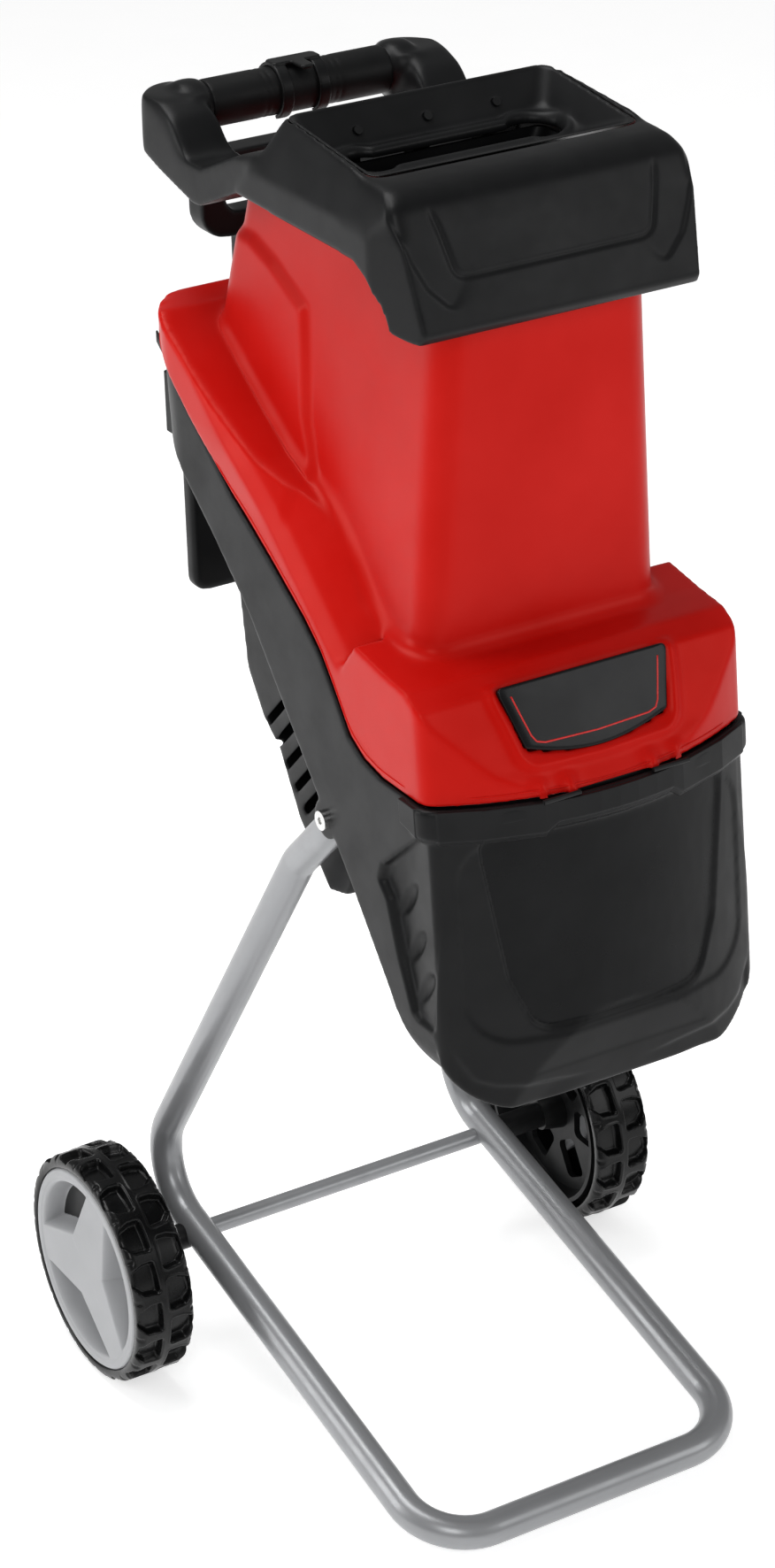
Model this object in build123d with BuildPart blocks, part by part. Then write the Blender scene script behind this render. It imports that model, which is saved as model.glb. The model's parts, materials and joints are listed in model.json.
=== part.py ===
"""Electric garden knife shredder on a wheeled tube stand.

Millimetres, +Z up, -Y is the front where the chips fall out, X is the axle's direction.
The origin is on the ground, in the middle of the machine's own box.
"""
from math import cos, radians, sin, sqrt
import os

from build123d import *

os.makedirs("parts", exist_ok=True)

# ---------------------------------------------------------------- driving dimensions
WALL = 3.0                      # moulded shells
PANEL_BACK = 1.4                # the front panel stands this far back from the lip
GAP = 0.6                       # seam between the two housings
HALF_WIDTH = 113.0              # lower housing
REAR_Y = 158.0                  # rear face of the body
TILT = 40.0                     # slope of the body, knife disc and motor, from level
SLAB_ORIGIN = (0, 0, 626)       # a point on the seam between the housings

TUBE_R = 11.0                   # stand tube
TUBE_WALL = 1.5
STAND_X = 117.4                 # half the distance between the side tubes
LEG_TOP_X = 99.0
LEG_SCREW_YZ = (-57.0, 477.0)

AXLE_Y = 135.0
WHEEL_R = 80.0
WHEEL_IN_X = 160.0
WHEEL_OUT_X = 203.0
RIM_R = 70.5
AXLE_R = 4.0
AXLE_Z = 80.0
FIT = 0.05                      # radial running clearance

DISC_S = -30.0                  # knife disc, measured up the slope from SLAB_ORIGIN
DISC_R = 85.0
DISC_LOW = -18.0
DISC_HIGH = -12.0
SHAFT_R = 8.5
MOTOR_S = 32.0                  # motor axis, up the slope
DISC_PULLEY_R = 42.0
MOTOR_PULLEY_R = 10.5
BELT_LOW = -60.0
BELT_HIGH = -48.0
PLATE_LOW = -34.0
PLATE_HIGH = -29.0

GRIP_YZ = (151.0, 861.0)        # cross grip
GRIP_R = 15.0
GRIP_HALF = 63.0

PLUNGER_Y = 205.0
PLUNGER_THICK = 12.0
LOCK_S = 150.0
LOCK_SEAT = -54.0               # flat seat of the lock screw's washer
HINGE_YZ = (-204.5, 533.2)
KEY_X = 96.0                    # interlock key and switch
KEY_S = 126.0
CHIMNEY_TOP = 838.0
CHASSIS_FEET = [(-88, -78), (88, -78), (-88, 88), (88, 88)]
PILLARS = [(-52, 8), (52, 8), (-40, 66), (40, 66)]
COVER_FEET = [(-91, -58, -76), (91, -58, -76), (-91, 62, -66), (91, 62, -66)]   # (x, up the slope, lower face)
SWITCH_X = 52.0                 # half width of the switch box
SWITCH_REAR_Y = 98.0
SWITCH_Z = 470.0
INLET_X = 29.0
COLLAR_R = 19.5                 # inlet collar, which the lead's coupling goes over
COLLAR_H = 8.0
BUTTONS = [("on_button", -38, 7.5), ("off_button", -18, 7.5), ("reset_button", 0, 4.5)]

SLAB = Plane(origin=SLAB_ORIGIN, x_dir=(1, 0, 0), z_dir=(0, -sin(radians(TILT)), cos(radians(TILT))))


def slab(height):
    """Plane parallel to the knife disc: local x is X, local y runs up the slope."""
    return SLAB.offset(height)


def slab_point(up, over):
    """Y and Z of a point up the slope and over the seam plane, as a point in the middle plane."""
    slope = radians(TILT)
    return (0, up * cos(slope) - over * sin(slope), SLAB_ORIGIN[2] + up * sin(slope) + over * cos(slope))


UP_SLOPE = (0, cos(radians(TILT)), sin(radians(TILT)))
BADGE_PLANE = Plane(origin=(0, -170, 570), x_dir=(1, 0, 0), z_dir=(0, -0.904, 0.428))


def across(x):
    """Plane square to X at x: local x is Y, local y is Z."""
    return Plane.YZ.offset(x)


def save(block, name):
    """Label a finished sub-part and write it as its own file."""
    block.part.label = name
    export_step(block.part, f"parts/{name}.step")


# ---------------------------------------------------------------- outlines
SEAM = [(190, 767), (158, 741), (105, 700), (44, 652), (2, 627), (-37, 602), (-57, 586),
        (-76, 562), (-88, 545), (-104, 536), (-124, 532), (-240, 532)]
UNDERSIDE = [(-206, 337), (-165, 342), (-150, 360), (-129, 392), (-90, 441), (-30, 511),
             (30, 582), (71, 618), (113, 651), (142, 672), (155, 692)]
FRONT_LEAN = 0.0845             # the front moves out this much for each millimetre down
FRONT_ARC_R = 216.0
CORNER_R = 50.0
PLAN_Z = 390.0                  # height where the front apex is at PLAN_APEX
PLAN_APEX = -216.4
SHOULDER = [(159, 742.2), (150, 748), (128, 745), (104, 732), (62, 706), (20, 682), (-21, 664), (-41, 653),
            (-56, 636), (-71, 619), (-92, 607), (-127, 601), (-152, 598), (-166, 590), (-178, 570),
            (-188, 550), (-201, 532.7)]
FINGER_GROOVE = [(-164, 508.5), (-124.7, 475), (-121, 464), (-130, 455), (-141.5, 422), (-156, 391), (-162, 388),
                 (-179, 388), (-184, 512)]
ROOF = [(112.5, 14), (106, 27), (98, 35), (82, 48), (130, 70), (130, 14)]   # (x, height over the seam plane)


def front_y(z):
    """Y of the front face's middle at height z."""
    return PLAN_APEX + (z - PLAN_Z) * FRONT_LEAN


def plan_prism(proud, low, high):
    """The body's outline seen from above, leaning with the front, from low to high."""
    half = HALF_WIDTH + proud
    apex = front_y(low) - proud
    corner = apex + FRONT_ARC_R - sqrt(FRONT_ARC_R ** 2 - half ** 2)
    rear = REAR_Y + proud - (742 - low) * FRONT_LEAN
    with BuildPart() as prism:
        with BuildSketch(Plane.XY.offset(low)) as outline:
            with BuildLine():
                ThreePointArc((-half, corner), (0, apex), (half, corner))
                Line((half, corner), (half, rear))
                Line((half, rear), (-half, rear))
                Line((-half, rear), (-half, corner))
            make_face()
            fillet(outline.vertices().group_by(Axis.Y)[-1], radius=45)
            fillet(outline.vertices().group_by(Axis.Y)[0], radius=12)
        extrude(amount=(high - low), dir=(0, FRONT_LEAN, 1))
    return prism.part


def drawn_in(points, distance):
    """The open outline moved to its right-hand side by a distance."""
    points = [Vector(*point) for point in points]
    moved = []
    for index, point in enumerate(points):
        before = points[max(index - 1, 0)]
        after = points[min(index + 1, len(points) - 1)]
        along = (after - before).normalized()
        moved.append((point.X + along.Y * distance, point.Y - along.X * distance))
    return moved


def side_prism(points, half):
    """A closed (Y, Z) outline carried across to half on each side."""
    with BuildPart() as prism:
        with BuildSketch(across(0)):
            with BuildLine():
                Polyline(*points, close=True)
            make_face()
        extrude(amount=half, both=True)
    return prism.part


def common(first, second):
    """The solid that two outlines share."""
    with BuildPart() as both:
        add(first)
        add(second, mode=Mode.INTERSECT)
    return both.part


def corner_wedges(half, radius, low):
    """What has to go to round the two bottom corners, as seen from the front."""
    knee = radius * (1 - cos(radians(45)))
    with BuildPart() as wedges:
        for side in (-1, 1):
            with BuildSketch(Plane.XZ.offset(-300)):
                with BuildLine():
                    ThreePointArc((side * (half - radius), low), (side * (half - knee), low + knee),
                                  (side * half, low + radius))
                    Polyline((side * half, low + radius), (side * (half + 20), low + radius),
                             (side * (half + 20), low - 60), (side * (half - radius), low - 60),
                             (side * (half - radius), low))
                make_face()
            extrude(amount=600)
    return wedges.part


def lower_solid(inset):
    """Lower housing's outside, or its hollow when inset is the wall."""
    points = SEAM[1:] + [(-240, 398), (-216.4, 392)] + UNDERSIDE
    with BuildPart() as profile:
        with BuildSketch(across(0)):
            with BuildLine():
                Polyline(*points, close=True)
            make_face()
            if inset:
                offset(amount=-inset, kind=Kind.INTERSECTION)
        extrude(amount=HALF_WIDTH - inset, both=True)
    if inset:
        with BuildPart() as mouth:
            with BuildSketch(across(0)):
                with BuildLine():
                    Polyline((-198, 300), (-210, 390), (-200, 400), (-150, 420), (-129, 400), (-155, 300), close=True)
                make_face()
            extrude(amount=HALF_WIDTH - inset, both=True)
            with BuildSketch(across(0)):
                with BuildLine():
                    Polyline(*[(y, z + 12) for y, z in SEAM[1:-1]], (-240, 544), (-240, 500), (-100, 500),
                             (100, 660), (150, 700), close=True)
                make_face()
            extrude(amount=HALF_WIDTH - inset, both=True)
            add(profile.part)
        profile = mouth
    with BuildPart() as shape:
        add(profile.part)
        add(plan_prism(-inset, 290, 800), mode=Mode.INTERSECT)
        add(corner_wedges(HALF_WIDTH - inset, CORNER_R - inset, 337 + inset), mode=Mode.SUBTRACT)
    return shape.part


# ---------------------------------------------------------------- lower housing
def make_lower_housing():
    """Side band, front strip, front cover, lip and outlet in one black moulding."""
    outer = lower_solid(0)
    inner = lower_solid(WALL)
    strip = plan_prism(2.5, 513, 531.4)
    with BuildPart() as posts:
        with BuildSketch(slab(PLATE_LOW)):
            with Locations(*CHASSIS_FEET):
                Circle(6.5)
        extrude(amount=-45)
        with BuildSketch(slab(LOCK_SEAT)):
            with Locations((0, LOCK_S)):
                Circle(13)
                Circle(5, mode=Mode.SUBTRACT)
        extrude(amount=12)
    feet = common(posts.part, lower_solid(1))
    front_panel = common(lower_solid(PANEL_BACK), side_prism([(-206, 345), (-213.5, 376), (-214.8, 381), (-214.8, 400),
                                                             (-240, 401), (-240, 520), (-140, 520), (-140, 360)],
                                                            112))
    with BuildPart() as panel_inside:
        add(common(front_panel, side_prism([(-240, 360), (-240, 520), (-180, 520), (-180, 360)], 100)))
        add(lower_solid(PANEL_BACK + WALL), mode=Mode.SUBTRACT)
    liner = panel_inside.part
    with BuildPart() as sockets:
        for side in (-1, 1):
            socket = Plane(origin=(side * LEG_TOP_X, -64, 484), x_dir=(0, 0.719, 0.694),
                           z_dir=(side * 0.05, 0.694, -0.718))
            with BuildSketch(socket):
                Circle(TUBE_R + 0.2)
            extrude(amount=60)
    leg_sockets = sockets.part
    strip_keep = side_prism([(-240, 500), (-240, 540), (-150, 540), (-165, 500)], 130)
    with BuildPart() as lip_band:
        with BuildSketch(Plane.XZ.offset(-100)):
            with Locations((0, 335 + 250)):
                RectangleRounded(2 * (HALF_WIDTH + 2), 500, 50)
            with Locations((0, 357 + 250)):
                RectangleRounded(2 * (HALF_WIDTH - 16), 500, 36, mode=Mode.SUBTRACT)
            with Locations((0, 700)):
                Rectangle(400, 640, mode=Mode.SUBTRACT)
        extrude(amount=400)
    lip = common(common(lip_band.part, plan_prism(0, 300, 420)),
                 side_prism([(-206, 330), (-214.9, 388), (-214, 420), (-178, 420), (-186, 335)], 130))
    with BuildPart() as housing:
        add(outer)
        # the face below the strip stands back from the lip
        with BuildSketch(Plane.XZ.offset(150)):
            with Locations((0, 446)):
                RectangleRounded(2 * (HALF_WIDTH - 14), 132, 30)
        extrude(amount=90, mode=Mode.SUBTRACT)
        add(front_panel)
        add(lip)
        add(common(strip, strip_keep))
        add(inner, mode=Mode.SUBTRACT)
        add(liner)
        # finger grooves in the two flanks
        for side in (-1, 1):
            with BuildSketch(Plane.YZ.offset(side * (HALF_WIDTH - 1.4))):
                with BuildLine():
                    Polyline(*FINGER_GROOVE, close=True)
                make_face()
            extrude(amount=side * 6, mode=Mode.SUBTRACT)
        # motor opening in the underside
        with BuildSketch(slab(-40)):
            with Locations((0, 2)):
                RectangleRounded(132, 156, 14)
        extrude(amount=-100, mode=Mode.SUBTRACT)
        # lock screw hole
        with BuildSketch(slab(-30)):
            with Locations((0, LOCK_S)):
                Circle(5.0)
        extrude(amount=-40, mode=Mode.SUBTRACT)
        # feet for the chassis plate, flat seat of the lock screw, sockets for the stand's two ends
        add(feet)
        with BuildSketch(slab(LOCK_SEAT)):
            with Locations((0, LOCK_S)):
                Circle(13)
        extrude(amount=-12, mode=Mode.SUBTRACT)
        with BuildSketch(Plane.XZ.offset(-170)):
            with Locations((-53, 710), (53, 710)):
                Circle(2)
        extrude(amount=26, mode=Mode.SUBTRACT)
        for x, s in CHASSIS_FEET:
            with BuildSketch(slab(PLATE_LOW)):
                with Locations((x, s)):
                    Circle(2.0)
            extrude(amount=-12, mode=Mode.SUBTRACT)
        for side in (-1, 1):
            with BuildSketch(across(side * (HALF_WIDTH - WALL))):
                with Locations(LEG_SCREW_YZ):
                    Circle(13)
            extrude(amount=side * WALL)
        add(leg_sockets, mode=Mode.SUBTRACT)
        for side in (-1, 1):
            with BuildSketch(across(side * (HALF_WIDTH + 1))):
                with Locations(LEG_SCREW_YZ):
                    Circle(3.0)
            extrude(amount=-side * 6, mode=Mode.SUBTRACT)
        for x, s, _ in COVER_FEET:
            with BuildSketch(slab(-40)):
                with Locations((x, s)):
                    Circle(2.0)
            extrude(amount=-40, mode=Mode.SUBTRACT)
        # pockets that the hinge lugs turn in
        for x in (-38, 38):
            for end in (x - 12.8, x + 6.0):
                with BuildSketch(across(end)):
                    with Locations(HINGE_YZ):
                        Circle(3.7)
                extrude(amount=6.8, mode=Mode.SUBTRACT)
        # hinge knuckles on the strip's ledge
        for x in (-38, 38):
            with BuildSketch(across(x - 6)):
                with Locations(HINGE_YZ):
                    Circle(3.4)
            extrude(amount=12)
            with BuildSketch(across(x - 6)):
                with Locations(HINGE_YZ):
                    Circle(1.55)
            extrude(amount=12, mode=Mode.SUBTRACT)
    return housing



def skirt_solid(inset):
    """Flared lower part of the upper housing, or its hollow when inset is the wall."""
    bottom = [(y, z + GAP - (15 if inset else 0)) for y, z in SEAM[1:-1]]
    with BuildPart() as skirt:
        with BuildSketch(across(0)):
            with BuildLine():
                Polyline(*bottom, *drawn_in(reversed(SHOULDER), inset), close=True)
            make_face()
        extrude(amount=HALF_WIDTH, both=True)
        add(plan_prism(-1.2 - inset, 480, 800), mode=Mode.INTERSECT)
        for side in (-1, 1):
            with BuildSketch(Plane(origin=slab_point(-86, 0), x_dir=(1, 0, 0), z_dir=UP_SLOPE)):
                with BuildLine():
                    Polyline(*[(side * (x - inset), inset - height) for x, height in ROOF], close=True)
                make_face()
            extrude(amount=400, mode=Mode.SUBTRACT)
    return skirt.part


def chimney_solid(inset):
    """Feed chimney above the skirt, tapering upwards, or its hollow."""
    foot_z, top_z = 598, 858
    with BuildPart() as chimney:
        with BuildSketch(Plane.XY.offset(foot_z)):
            with Locations((0, 15)):
                RectangleRounded(2 * (84 - inset), 286 - 2 * inset, 17 - inset)
        with BuildSketch(Plane.XY.offset(top_z)):
            with Locations((0, -24)):
                RectangleRounded(2 * (67.5 - inset), 226 - 2 * inset, 17 - inset)
        loft()
        with BuildSketch(across(0)):
            with BuildLine():
                Polyline(*[(y, z + GAP) for y, z in SEAM], (-240, 400), (190, 400), close=True)
            make_face()
        extrude(amount=130, both=True, mode=Mode.SUBTRACT)
    return chimney.part


def shield(grow, depth):
    """Outline of the badge, driven into the skirt's front along the skirt's own slope."""
    with BuildPart() as prism:
        with BuildSketch(BADGE_PLANE):
            with BuildLine():
                top, foot, high, low = 57 + grow, 47 + grow, 21 + grow, -21 - grow
                Polyline((-foot, low + 6), (-top, high), (top, high), (foot, low + 6))
                ThreePointArc((foot, low + 6), (0, low - 2), (-foot, low + 6))
            make_face()
        extrude(amount=depth, both=True)
    return prism.part


def make_upper_housing():
    """Red chimney and skirt in one moulding, with the seat for the badge and the lock boss."""
    seat = shield(3, 30)
    floor = skirt_solid(2.0)
    with BuildPart() as recess:
        add(seat)
        add(floor, mode=Mode.SUBTRACT)
    chimney_outer = chimney_solid(0)
    chimney_inner = chimney_solid(WALL)
    skirt_outer = skirt_solid(0)
    skirt_inner = skirt_solid(WALL)
    with BuildPart() as housing:
        add(skirt_outer)
        add(recess.part, mode=Mode.SUBTRACT)
        add(chimney_outer)
        add(skirt_inner, mode=Mode.SUBTRACT)
        add(chimney_inner, mode=Mode.SUBTRACT)
        with BuildSketch(Plane.XY.offset(CHIMNEY_TOP)):
            Rectangle(300, 500)
        extrude(amount=60, mode=Mode.SUBTRACT)
        # boss that the lock screw's tip stands in
        with BuildSketch(slab(-6)):
            with Locations((0, LOCK_S - 6)):
                Circle(10)
        extrude(amount=26)
        with BuildSketch(slab(-6)):
            with Locations((0, LOCK_S + 10)):
                Rectangle(6, 28)
        extrude(amount=14)
        with BuildSketch(slab(-6)):
            with Locations((0, LOCK_S)):
                Circle(6.4)
        extrude(amount=13, mode=Mode.SUBTRACT)
        # key that closes the interlock switch
        with BuildSketch(slab(-26)):
            with Locations((KEY_X, KEY_S)):
                Rectangle(8, 2.4)
        extrude(amount=42)
        # hinge lugs
        for x in (-38, 38):
            for end in (x - 12.3, x + 6.3):
                with BuildSketch(across(end)):
                    with Locations(HINGE_YZ):
                        Circle(3.2)
                    with BuildLine():
                        Polyline((-205.5, 536.2), (-196, 543), (-190, 543), (-193, 534.4), (-204, 534.4),
                                 close=True)
                    make_face()
                    with Locations(HINGE_YZ):
                        Circle(1.6, mode=Mode.SUBTRACT)
                extrude(amount=6)
    return housing


def make_badge_plate():
    """Thin plate that lies in the recess of the skirt."""
    outer = skirt_solid(0.6)
    floor = skirt_solid(2.0)
    with BuildPart() as plate:
        add(shield(0, 30))
        add(outer, mode=Mode.INTERSECT)
        add(floor, mode=Mode.SUBTRACT)
    return plate


# ---------------------------------------------------------------- hopper
HOOD_SIDE = [(4, 897), (-92, 886.5), (-118, 885), (-130, 878), (-137, 862), (-152, 809), (-148, 803), (-129, 803),
             (-122, 820), (-110, 834), (-96, 841), (38, 843), (20, 866)]
ARM_SIDE = [(175, 860), (176, 846), (168, 839), (94, 821), (86, 822), (38, 843), (4, 843), (4, 866),
            (20, 872), (38, 866), (84, 846), (100, 846), (150, 868), (168, 868)]


def hood_solid(inset):
    """Outside of the hood over the chimney's head, or its hollow."""
    with BuildPart() as hood:
        with BuildSketch(across(0)):
            with BuildLine():
                Polyline(*HOOD_SIDE, close=True)
            make_face()
            if inset:
                offset(amount=-inset, kind=Kind.INTERSECTION)
        extrude(amount=106 - inset, both=True)
        if inset:
            with BuildSketch(across(0)):
                with BuildLine():
                    Polyline((30, 835), (30, 850), (-100, 848), (-118, 835), (-131, 812), (-146, 812), (-146, 795),
                             (-100, 795), close=True)
                make_face()
            extrude(amount=106 - inset, both=True)
        with BuildSketch(Plane.XZ.offset(-60)):
            with BuildLine():
                half = [(105.5, 780), (105.5, 862), (98, 879), (89, 898)]
                Polyline(*[(x - inset, z) for x, z in half], *[(inset - x, z) for x, z in reversed(half)], close=True)
            make_face()
        extrude(amount=240, mode=Mode.INTERSECT)
        with BuildSketch(Plane.XY.offset(780)):
            with BuildLine():
                plan = [(106, 60), (106, -112), (92, -153)]
                Polyline(*[(x - inset, y) for x, y in plan], *[(inset - x, y) for x, y in reversed(plan)], close=True)
            make_face()
        extrude(amount=130, mode=Mode.INTERSECT)
    return hood.part


def funnel_solid(inset, low, above):
    """Sunk tray that leads to the slot, carried up by the last number over its rim."""
    rim = Plane(origin=(0, -45, 891), x_dir=(1, 0, 0), z_dir=(0, -0.11, 0.994))
    with BuildPart() as funnel:
        with BuildSketch(rim):
            RectangleRounded(2 * (90 - inset), 2 * (50.5 - inset), 8)
        with BuildSketch(Plane(origin=(0, -34, low), x_dir=(1, 0, 0), z_dir=(0, -0.05, 0.9987))):
            RectangleRounded(2 * (78 - inset), 2 * (24 - inset), 8)
        loft()
        if above:
            with BuildSketch(rim):
                RectangleRounded(2 * (90 - inset), 2 * (50.5 - inset), 8)
            extrude(amount=above)
    return funnel.part


def slot_outline():
    """Dog-bone slot: wide ends, narrow waist, as the plunger's blade."""
    with BuildPart() as slot:
        with BuildSketch(Plane.XY.offset(840)):
            with Locations((-56, -34), (56, -34)):
                Ellipse(16, 17)
            with Locations((0, -34)):
                Rectangle(112, 26)
        extrude(amount=50)
    return slot.part


# ---------------------------------------------------------------- screws in the funnel's back wall
RIVET_PLANES = [Plane(origin=(x, -6.9, 882.3), x_dir=(1, 0, 0), z_dir=(0, -0.836, 0.548)) for x in (-47, 0, 47)]

with BuildPart() as hopper_screws:
    for plane in RIVET_PLANES:
        with BuildSketch(plane):
            Circle(2.6)
        extrude(amount=1.4)
        with BuildSketch(plane):
            Circle(1.8)
        extrude(amount=-14)
save(hopper_screws, "hopper_screws")


TRAY_OUTER = funnel_solid(0, 868, 0)
TRAY_BOWL = funnel_solid(WALL, 872, 10)
SLOT = slot_outline()

with BuildPart() as funnel_tray:
    add(TRAY_OUTER)
    add(TRAY_BOWL, mode=Mode.SUBTRACT)
    add(SLOT, mode=Mode.SUBTRACT)
    add(hopper_screws.part, mode=Mode.SUBTRACT)
save(funnel_tray, "funnel_tray")


def make_hopper():
    """Hood round the funnel tray and the two handle arms in one black moulding."""
    outer = hood_solid(0)
    hollow = hood_solid(WALL)
    with BuildPart() as hopper:
        add(outer)
        add(hollow, mode=Mode.SUBTRACT)
        for side in (-1, 1):
            with BuildSketch(across(side * 86)) as arm:
                with BuildLine():
                    Polyline(*ARM_SIDE, close=True)
                make_face()
            extrude(amount=17.5, both=True)
            # the cross grip's ends
            with BuildSketch(across(side * (GRIP_HALF + 0.5))):
                with Locations(GRIP_YZ):
                    Circle(GRIP_R + 3)
            extrude(amount=side * 20)
        # root of the arms joins the hood's side
        with BuildSketch(Plane.XY.offset(800)):
            with BuildLine():
                plan = [(106, -60), (106, 154), (84, 177)]
                Polyline(*plan, *[(-x, y) for x, y in reversed(plan)], close=True)
            make_face()
            with Locations((0, -110)):
                Rectangle(240, 101)
        extrude(amount=110, mode=Mode.INTERSECT)
        # spigots that carry the grip
        for side in (-1, 1):
            with BuildSketch(across(side * 70)):
                with Locations(GRIP_YZ):
                    Circle(GRIP_R - 3.2)
            extrude(amount=-side * 18)
        # opening for the tray, room for the chimney's head and the screws
        add(funnel_solid(0, 868, 10), mode=Mode.SUBTRACT)
        add(chimney_solid(-0.4), mode=Mode.SUBTRACT)
        add(hopper_screws.part, mode=Mode.SUBTRACT)
    return hopper


lower_housing = make_lower_housing()
save(lower_housing, "lower_housing")
upper_housing = make_upper_housing()
save(upper_housing, "upper_housing")
badge_plate = make_badge_plate()
save(badge_plate, "badge_plate")
hopper = make_hopper()
save(hopper, "hopper")


# ---------------------------------------------------------------- feed chute
def chute_loft(inset):
    """Tapering duct from the slot down to the knives, or its hollow."""
    with BuildPart() as duct:
        with BuildSketch(slab(-3)):
            with Locations((0, -70)):
                RectangleRounded(2 * (60 - inset), 2 * (31 - inset), 6)
        with BuildSketch(Plane.XY.offset(CHIMNEY_TOP)):
            with Locations((0, -34)):
                RectangleRounded(2 * (64 - inset), 2 * (23 - inset), 6)
        loft()
    with BuildPart() as collar:
        with BuildSketch(Plane.XY.offset(CHIMNEY_TOP)):
            with Locations((0, -34)):
                RectangleRounded(2 * (64 - inset), 2 * (23 - inset), 6)
        with BuildSketch(Plane.XY.offset(865)):
            with Locations((0, -34)):
                RectangleRounded(2 * (76 - inset), 2 * (23 - inset), 6)
        loft()
        add(duct.part)
    return collar.part


CHUTE_OUTER = chute_loft(0)
CHUTE_HOLLOW = chute_loft(2.5)
CHIMNEY_HEAD = common(chimney_solid(0.5), side_prism([(-200, CHIMNEY_TOP), (-200, CHIMNEY_TOP + 3),
                                                      (150, CHIMNEY_TOP + 3), (150, CHIMNEY_TOP)], 130))

with BuildPart() as feed_chute:
    add(CHUTE_OUTER)
    add(CHIMNEY_HEAD)
    with BuildSketch(Plane.XY.offset(CHIMNEY_TOP)):
        with Locations((-47, 6), (0, 6), (47, 6)):
            Rectangle(11, 11)
    extrude(amount=36)
    add(CHUTE_HOLLOW, mode=Mode.SUBTRACT)
    for plane in RIVET_PLANES:
        with BuildSketch(plane):
            Circle(1.8)
        extrude(amount=-15, mode=Mode.SUBTRACT)
save(feed_chute, "feed_chute")

# ---------------------------------------------------------------- grip and cable clip
with BuildPart() as handle_grip:
    with BuildSketch(across(-GRIP_HALF)):
        with Locations(GRIP_YZ):
            Circle(GRIP_R)
            Circle(GRIP_R - 3.2, mode=Mode.SUBTRACT)
    extrude(amount=2 * GRIP_HALF)
    for x in (-26, -22, 22, 26):
        with BuildSketch(across(x - 0.8)):
            with Locations(GRIP_YZ):
                Circle(GRIP_R + 1)
                Circle(GRIP_R - 0.6, mode=Mode.SUBTRACT)
        extrude(amount=1.6, mode=Mode.SUBTRACT)
save(handle_grip, "handle_grip")

with BuildPart() as cable_clip:
    for x in (-17, 9):
        with BuildSketch(across(x)):
            with Locations(GRIP_YZ):
                Circle(GRIP_R + 2.6)
                Circle(GRIP_R + FIT, mode=Mode.SUBTRACT)
            with Locations((GRIP_YZ[0] + 8, GRIP_YZ[1] - 16)):
                Rectangle(24, 17, rotation=-30, mode=Mode.SUBTRACT)
        extrude(amount=8)
    with BuildSketch(Plane.XY.offset(GRIP_YZ[1] + GRIP_R + 0.8)):
        with Locations((0, GRIP_YZ[0])):
            RectangleRounded(34, 12, 3)
    extrude(amount=2.6)
    with BuildSketch(Plane.XY.offset(GRIP_YZ[1] + GRIP_R + 0.8)):
        with Locations((0, GRIP_YZ[0] - 10)):
            RectangleRounded(9, 20, 3)
    extrude(amount=2.6)
save(cable_clip, "cable_clip")

# ---------------------------------------------------------------- chassis, bearings, knife disc
with BuildPart() as chassis_plate:
    with BuildSketch(slab(PLATE_LOW)):
        with Locations((0, 5)):
            RectangleRounded(196, 190, 16)
        with Locations((0, DISC_S)):
            Circle(21, mode=Mode.SUBTRACT)
        with Locations(*CHASSIS_FEET, *PILLARS):
            Circle(2.2, mode=Mode.SUBTRACT)
        with Locations((-86, 10), (86, 10)):
            RectangleRounded(12, 70, 5, mode=Mode.SUBTRACT)
    extrude(amount=PLATE_HIGH - PLATE_LOW)
save(chassis_plate, "chassis_plate")

with BuildPart() as chassis_screws:
    for x, s in CHASSIS_FEET + PILLARS:
        with BuildSketch(slab(PLATE_HIGH)):
            with Locations((x, s)):
                Circle(4.6)
        extrude(amount=2.6)
        with BuildSketch(slab(PLATE_HIGH)):
            with Locations((x, s)):
                Circle(2.0)
        extrude(amount=-16)
save(chassis_screws, "chassis_screws")


def rings(up, pieces):
    """Rings on one axis: each piece is (outer radius, inner radius, from, to) above the seam plane."""
    with BuildPart() as stack:
        for outer, inner, low, high in pieces:
            with BuildSketch(slab(low)):
                with Locations((0, up)):
                    Circle(outer)
                    if inner:
                        Circle(inner, mode=Mode.SUBTRACT)
            extrude(amount=(high - low))
    return stack.part


with BuildPart() as bearing_housing:
    add(rings(DISC_S, [(30, 17.5, PLATE_HIGH, -25.5), (21, 17.5, -25.5, -23), (21, 17.5, -45.5, PLATE_HIGH),
                             (21, 14, -47.5, -45.5), (17.5, 15, -35.5, -33)]))
save(bearing_housing, "bearing_housing")

with BuildPart() as shaft_bearings:
    for low, high in ((-45.5, -35.5), (-33, -23)):
        with BuildSketch(slab(low)):
            with Locations((0, DISC_S)):
                Circle(17.5)
                Circle(SHAFT_R + FIT, mode=Mode.SUBTRACT)
        extrude(amount=(high - low))
        for face in (low, high - 0.8):
            with BuildSketch(slab(face)):
                with Locations((0, DISC_S)):
                    Circle(15)
                    Circle(11, mode=Mode.SUBTRACT)
            extrude(amount=0.8, mode=Mode.SUBTRACT)
save(shaft_bearings, "shaft_bearings")

with BuildPart() as disc_shaft:
    add(rings(DISC_S, [(SHAFT_R, 0, BELT_HIGH, -22.6), (12, 0, -22.6, DISC_LOW), (6, 0, DISC_LOW, -4.6),
                             (6, 0, -67.5, BELT_HIGH)]))
save(disc_shaft, "disc_shaft")

with BuildPart() as knife_disc:
    with BuildSketch(slab(DISC_LOW)):
        with Locations((0, DISC_S)):
            Circle(DISC_R)
            Circle(6, mode=Mode.SUBTRACT)
        for side in (-1, 1):
            with Locations((side * 47, DISC_S - side * 7)):
                RectangleRounded(58, 12, 4, mode=Mode.SUBTRACT)
            with Locations((side * 33, DISC_S + side * 12), (side * 61, DISC_S + side * 12)):
                Circle(2.5, mode=Mode.SUBTRACT)
    extrude(amount=DISC_HIGH - DISC_LOW)
save(knife_disc, "knife_disc")

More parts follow.
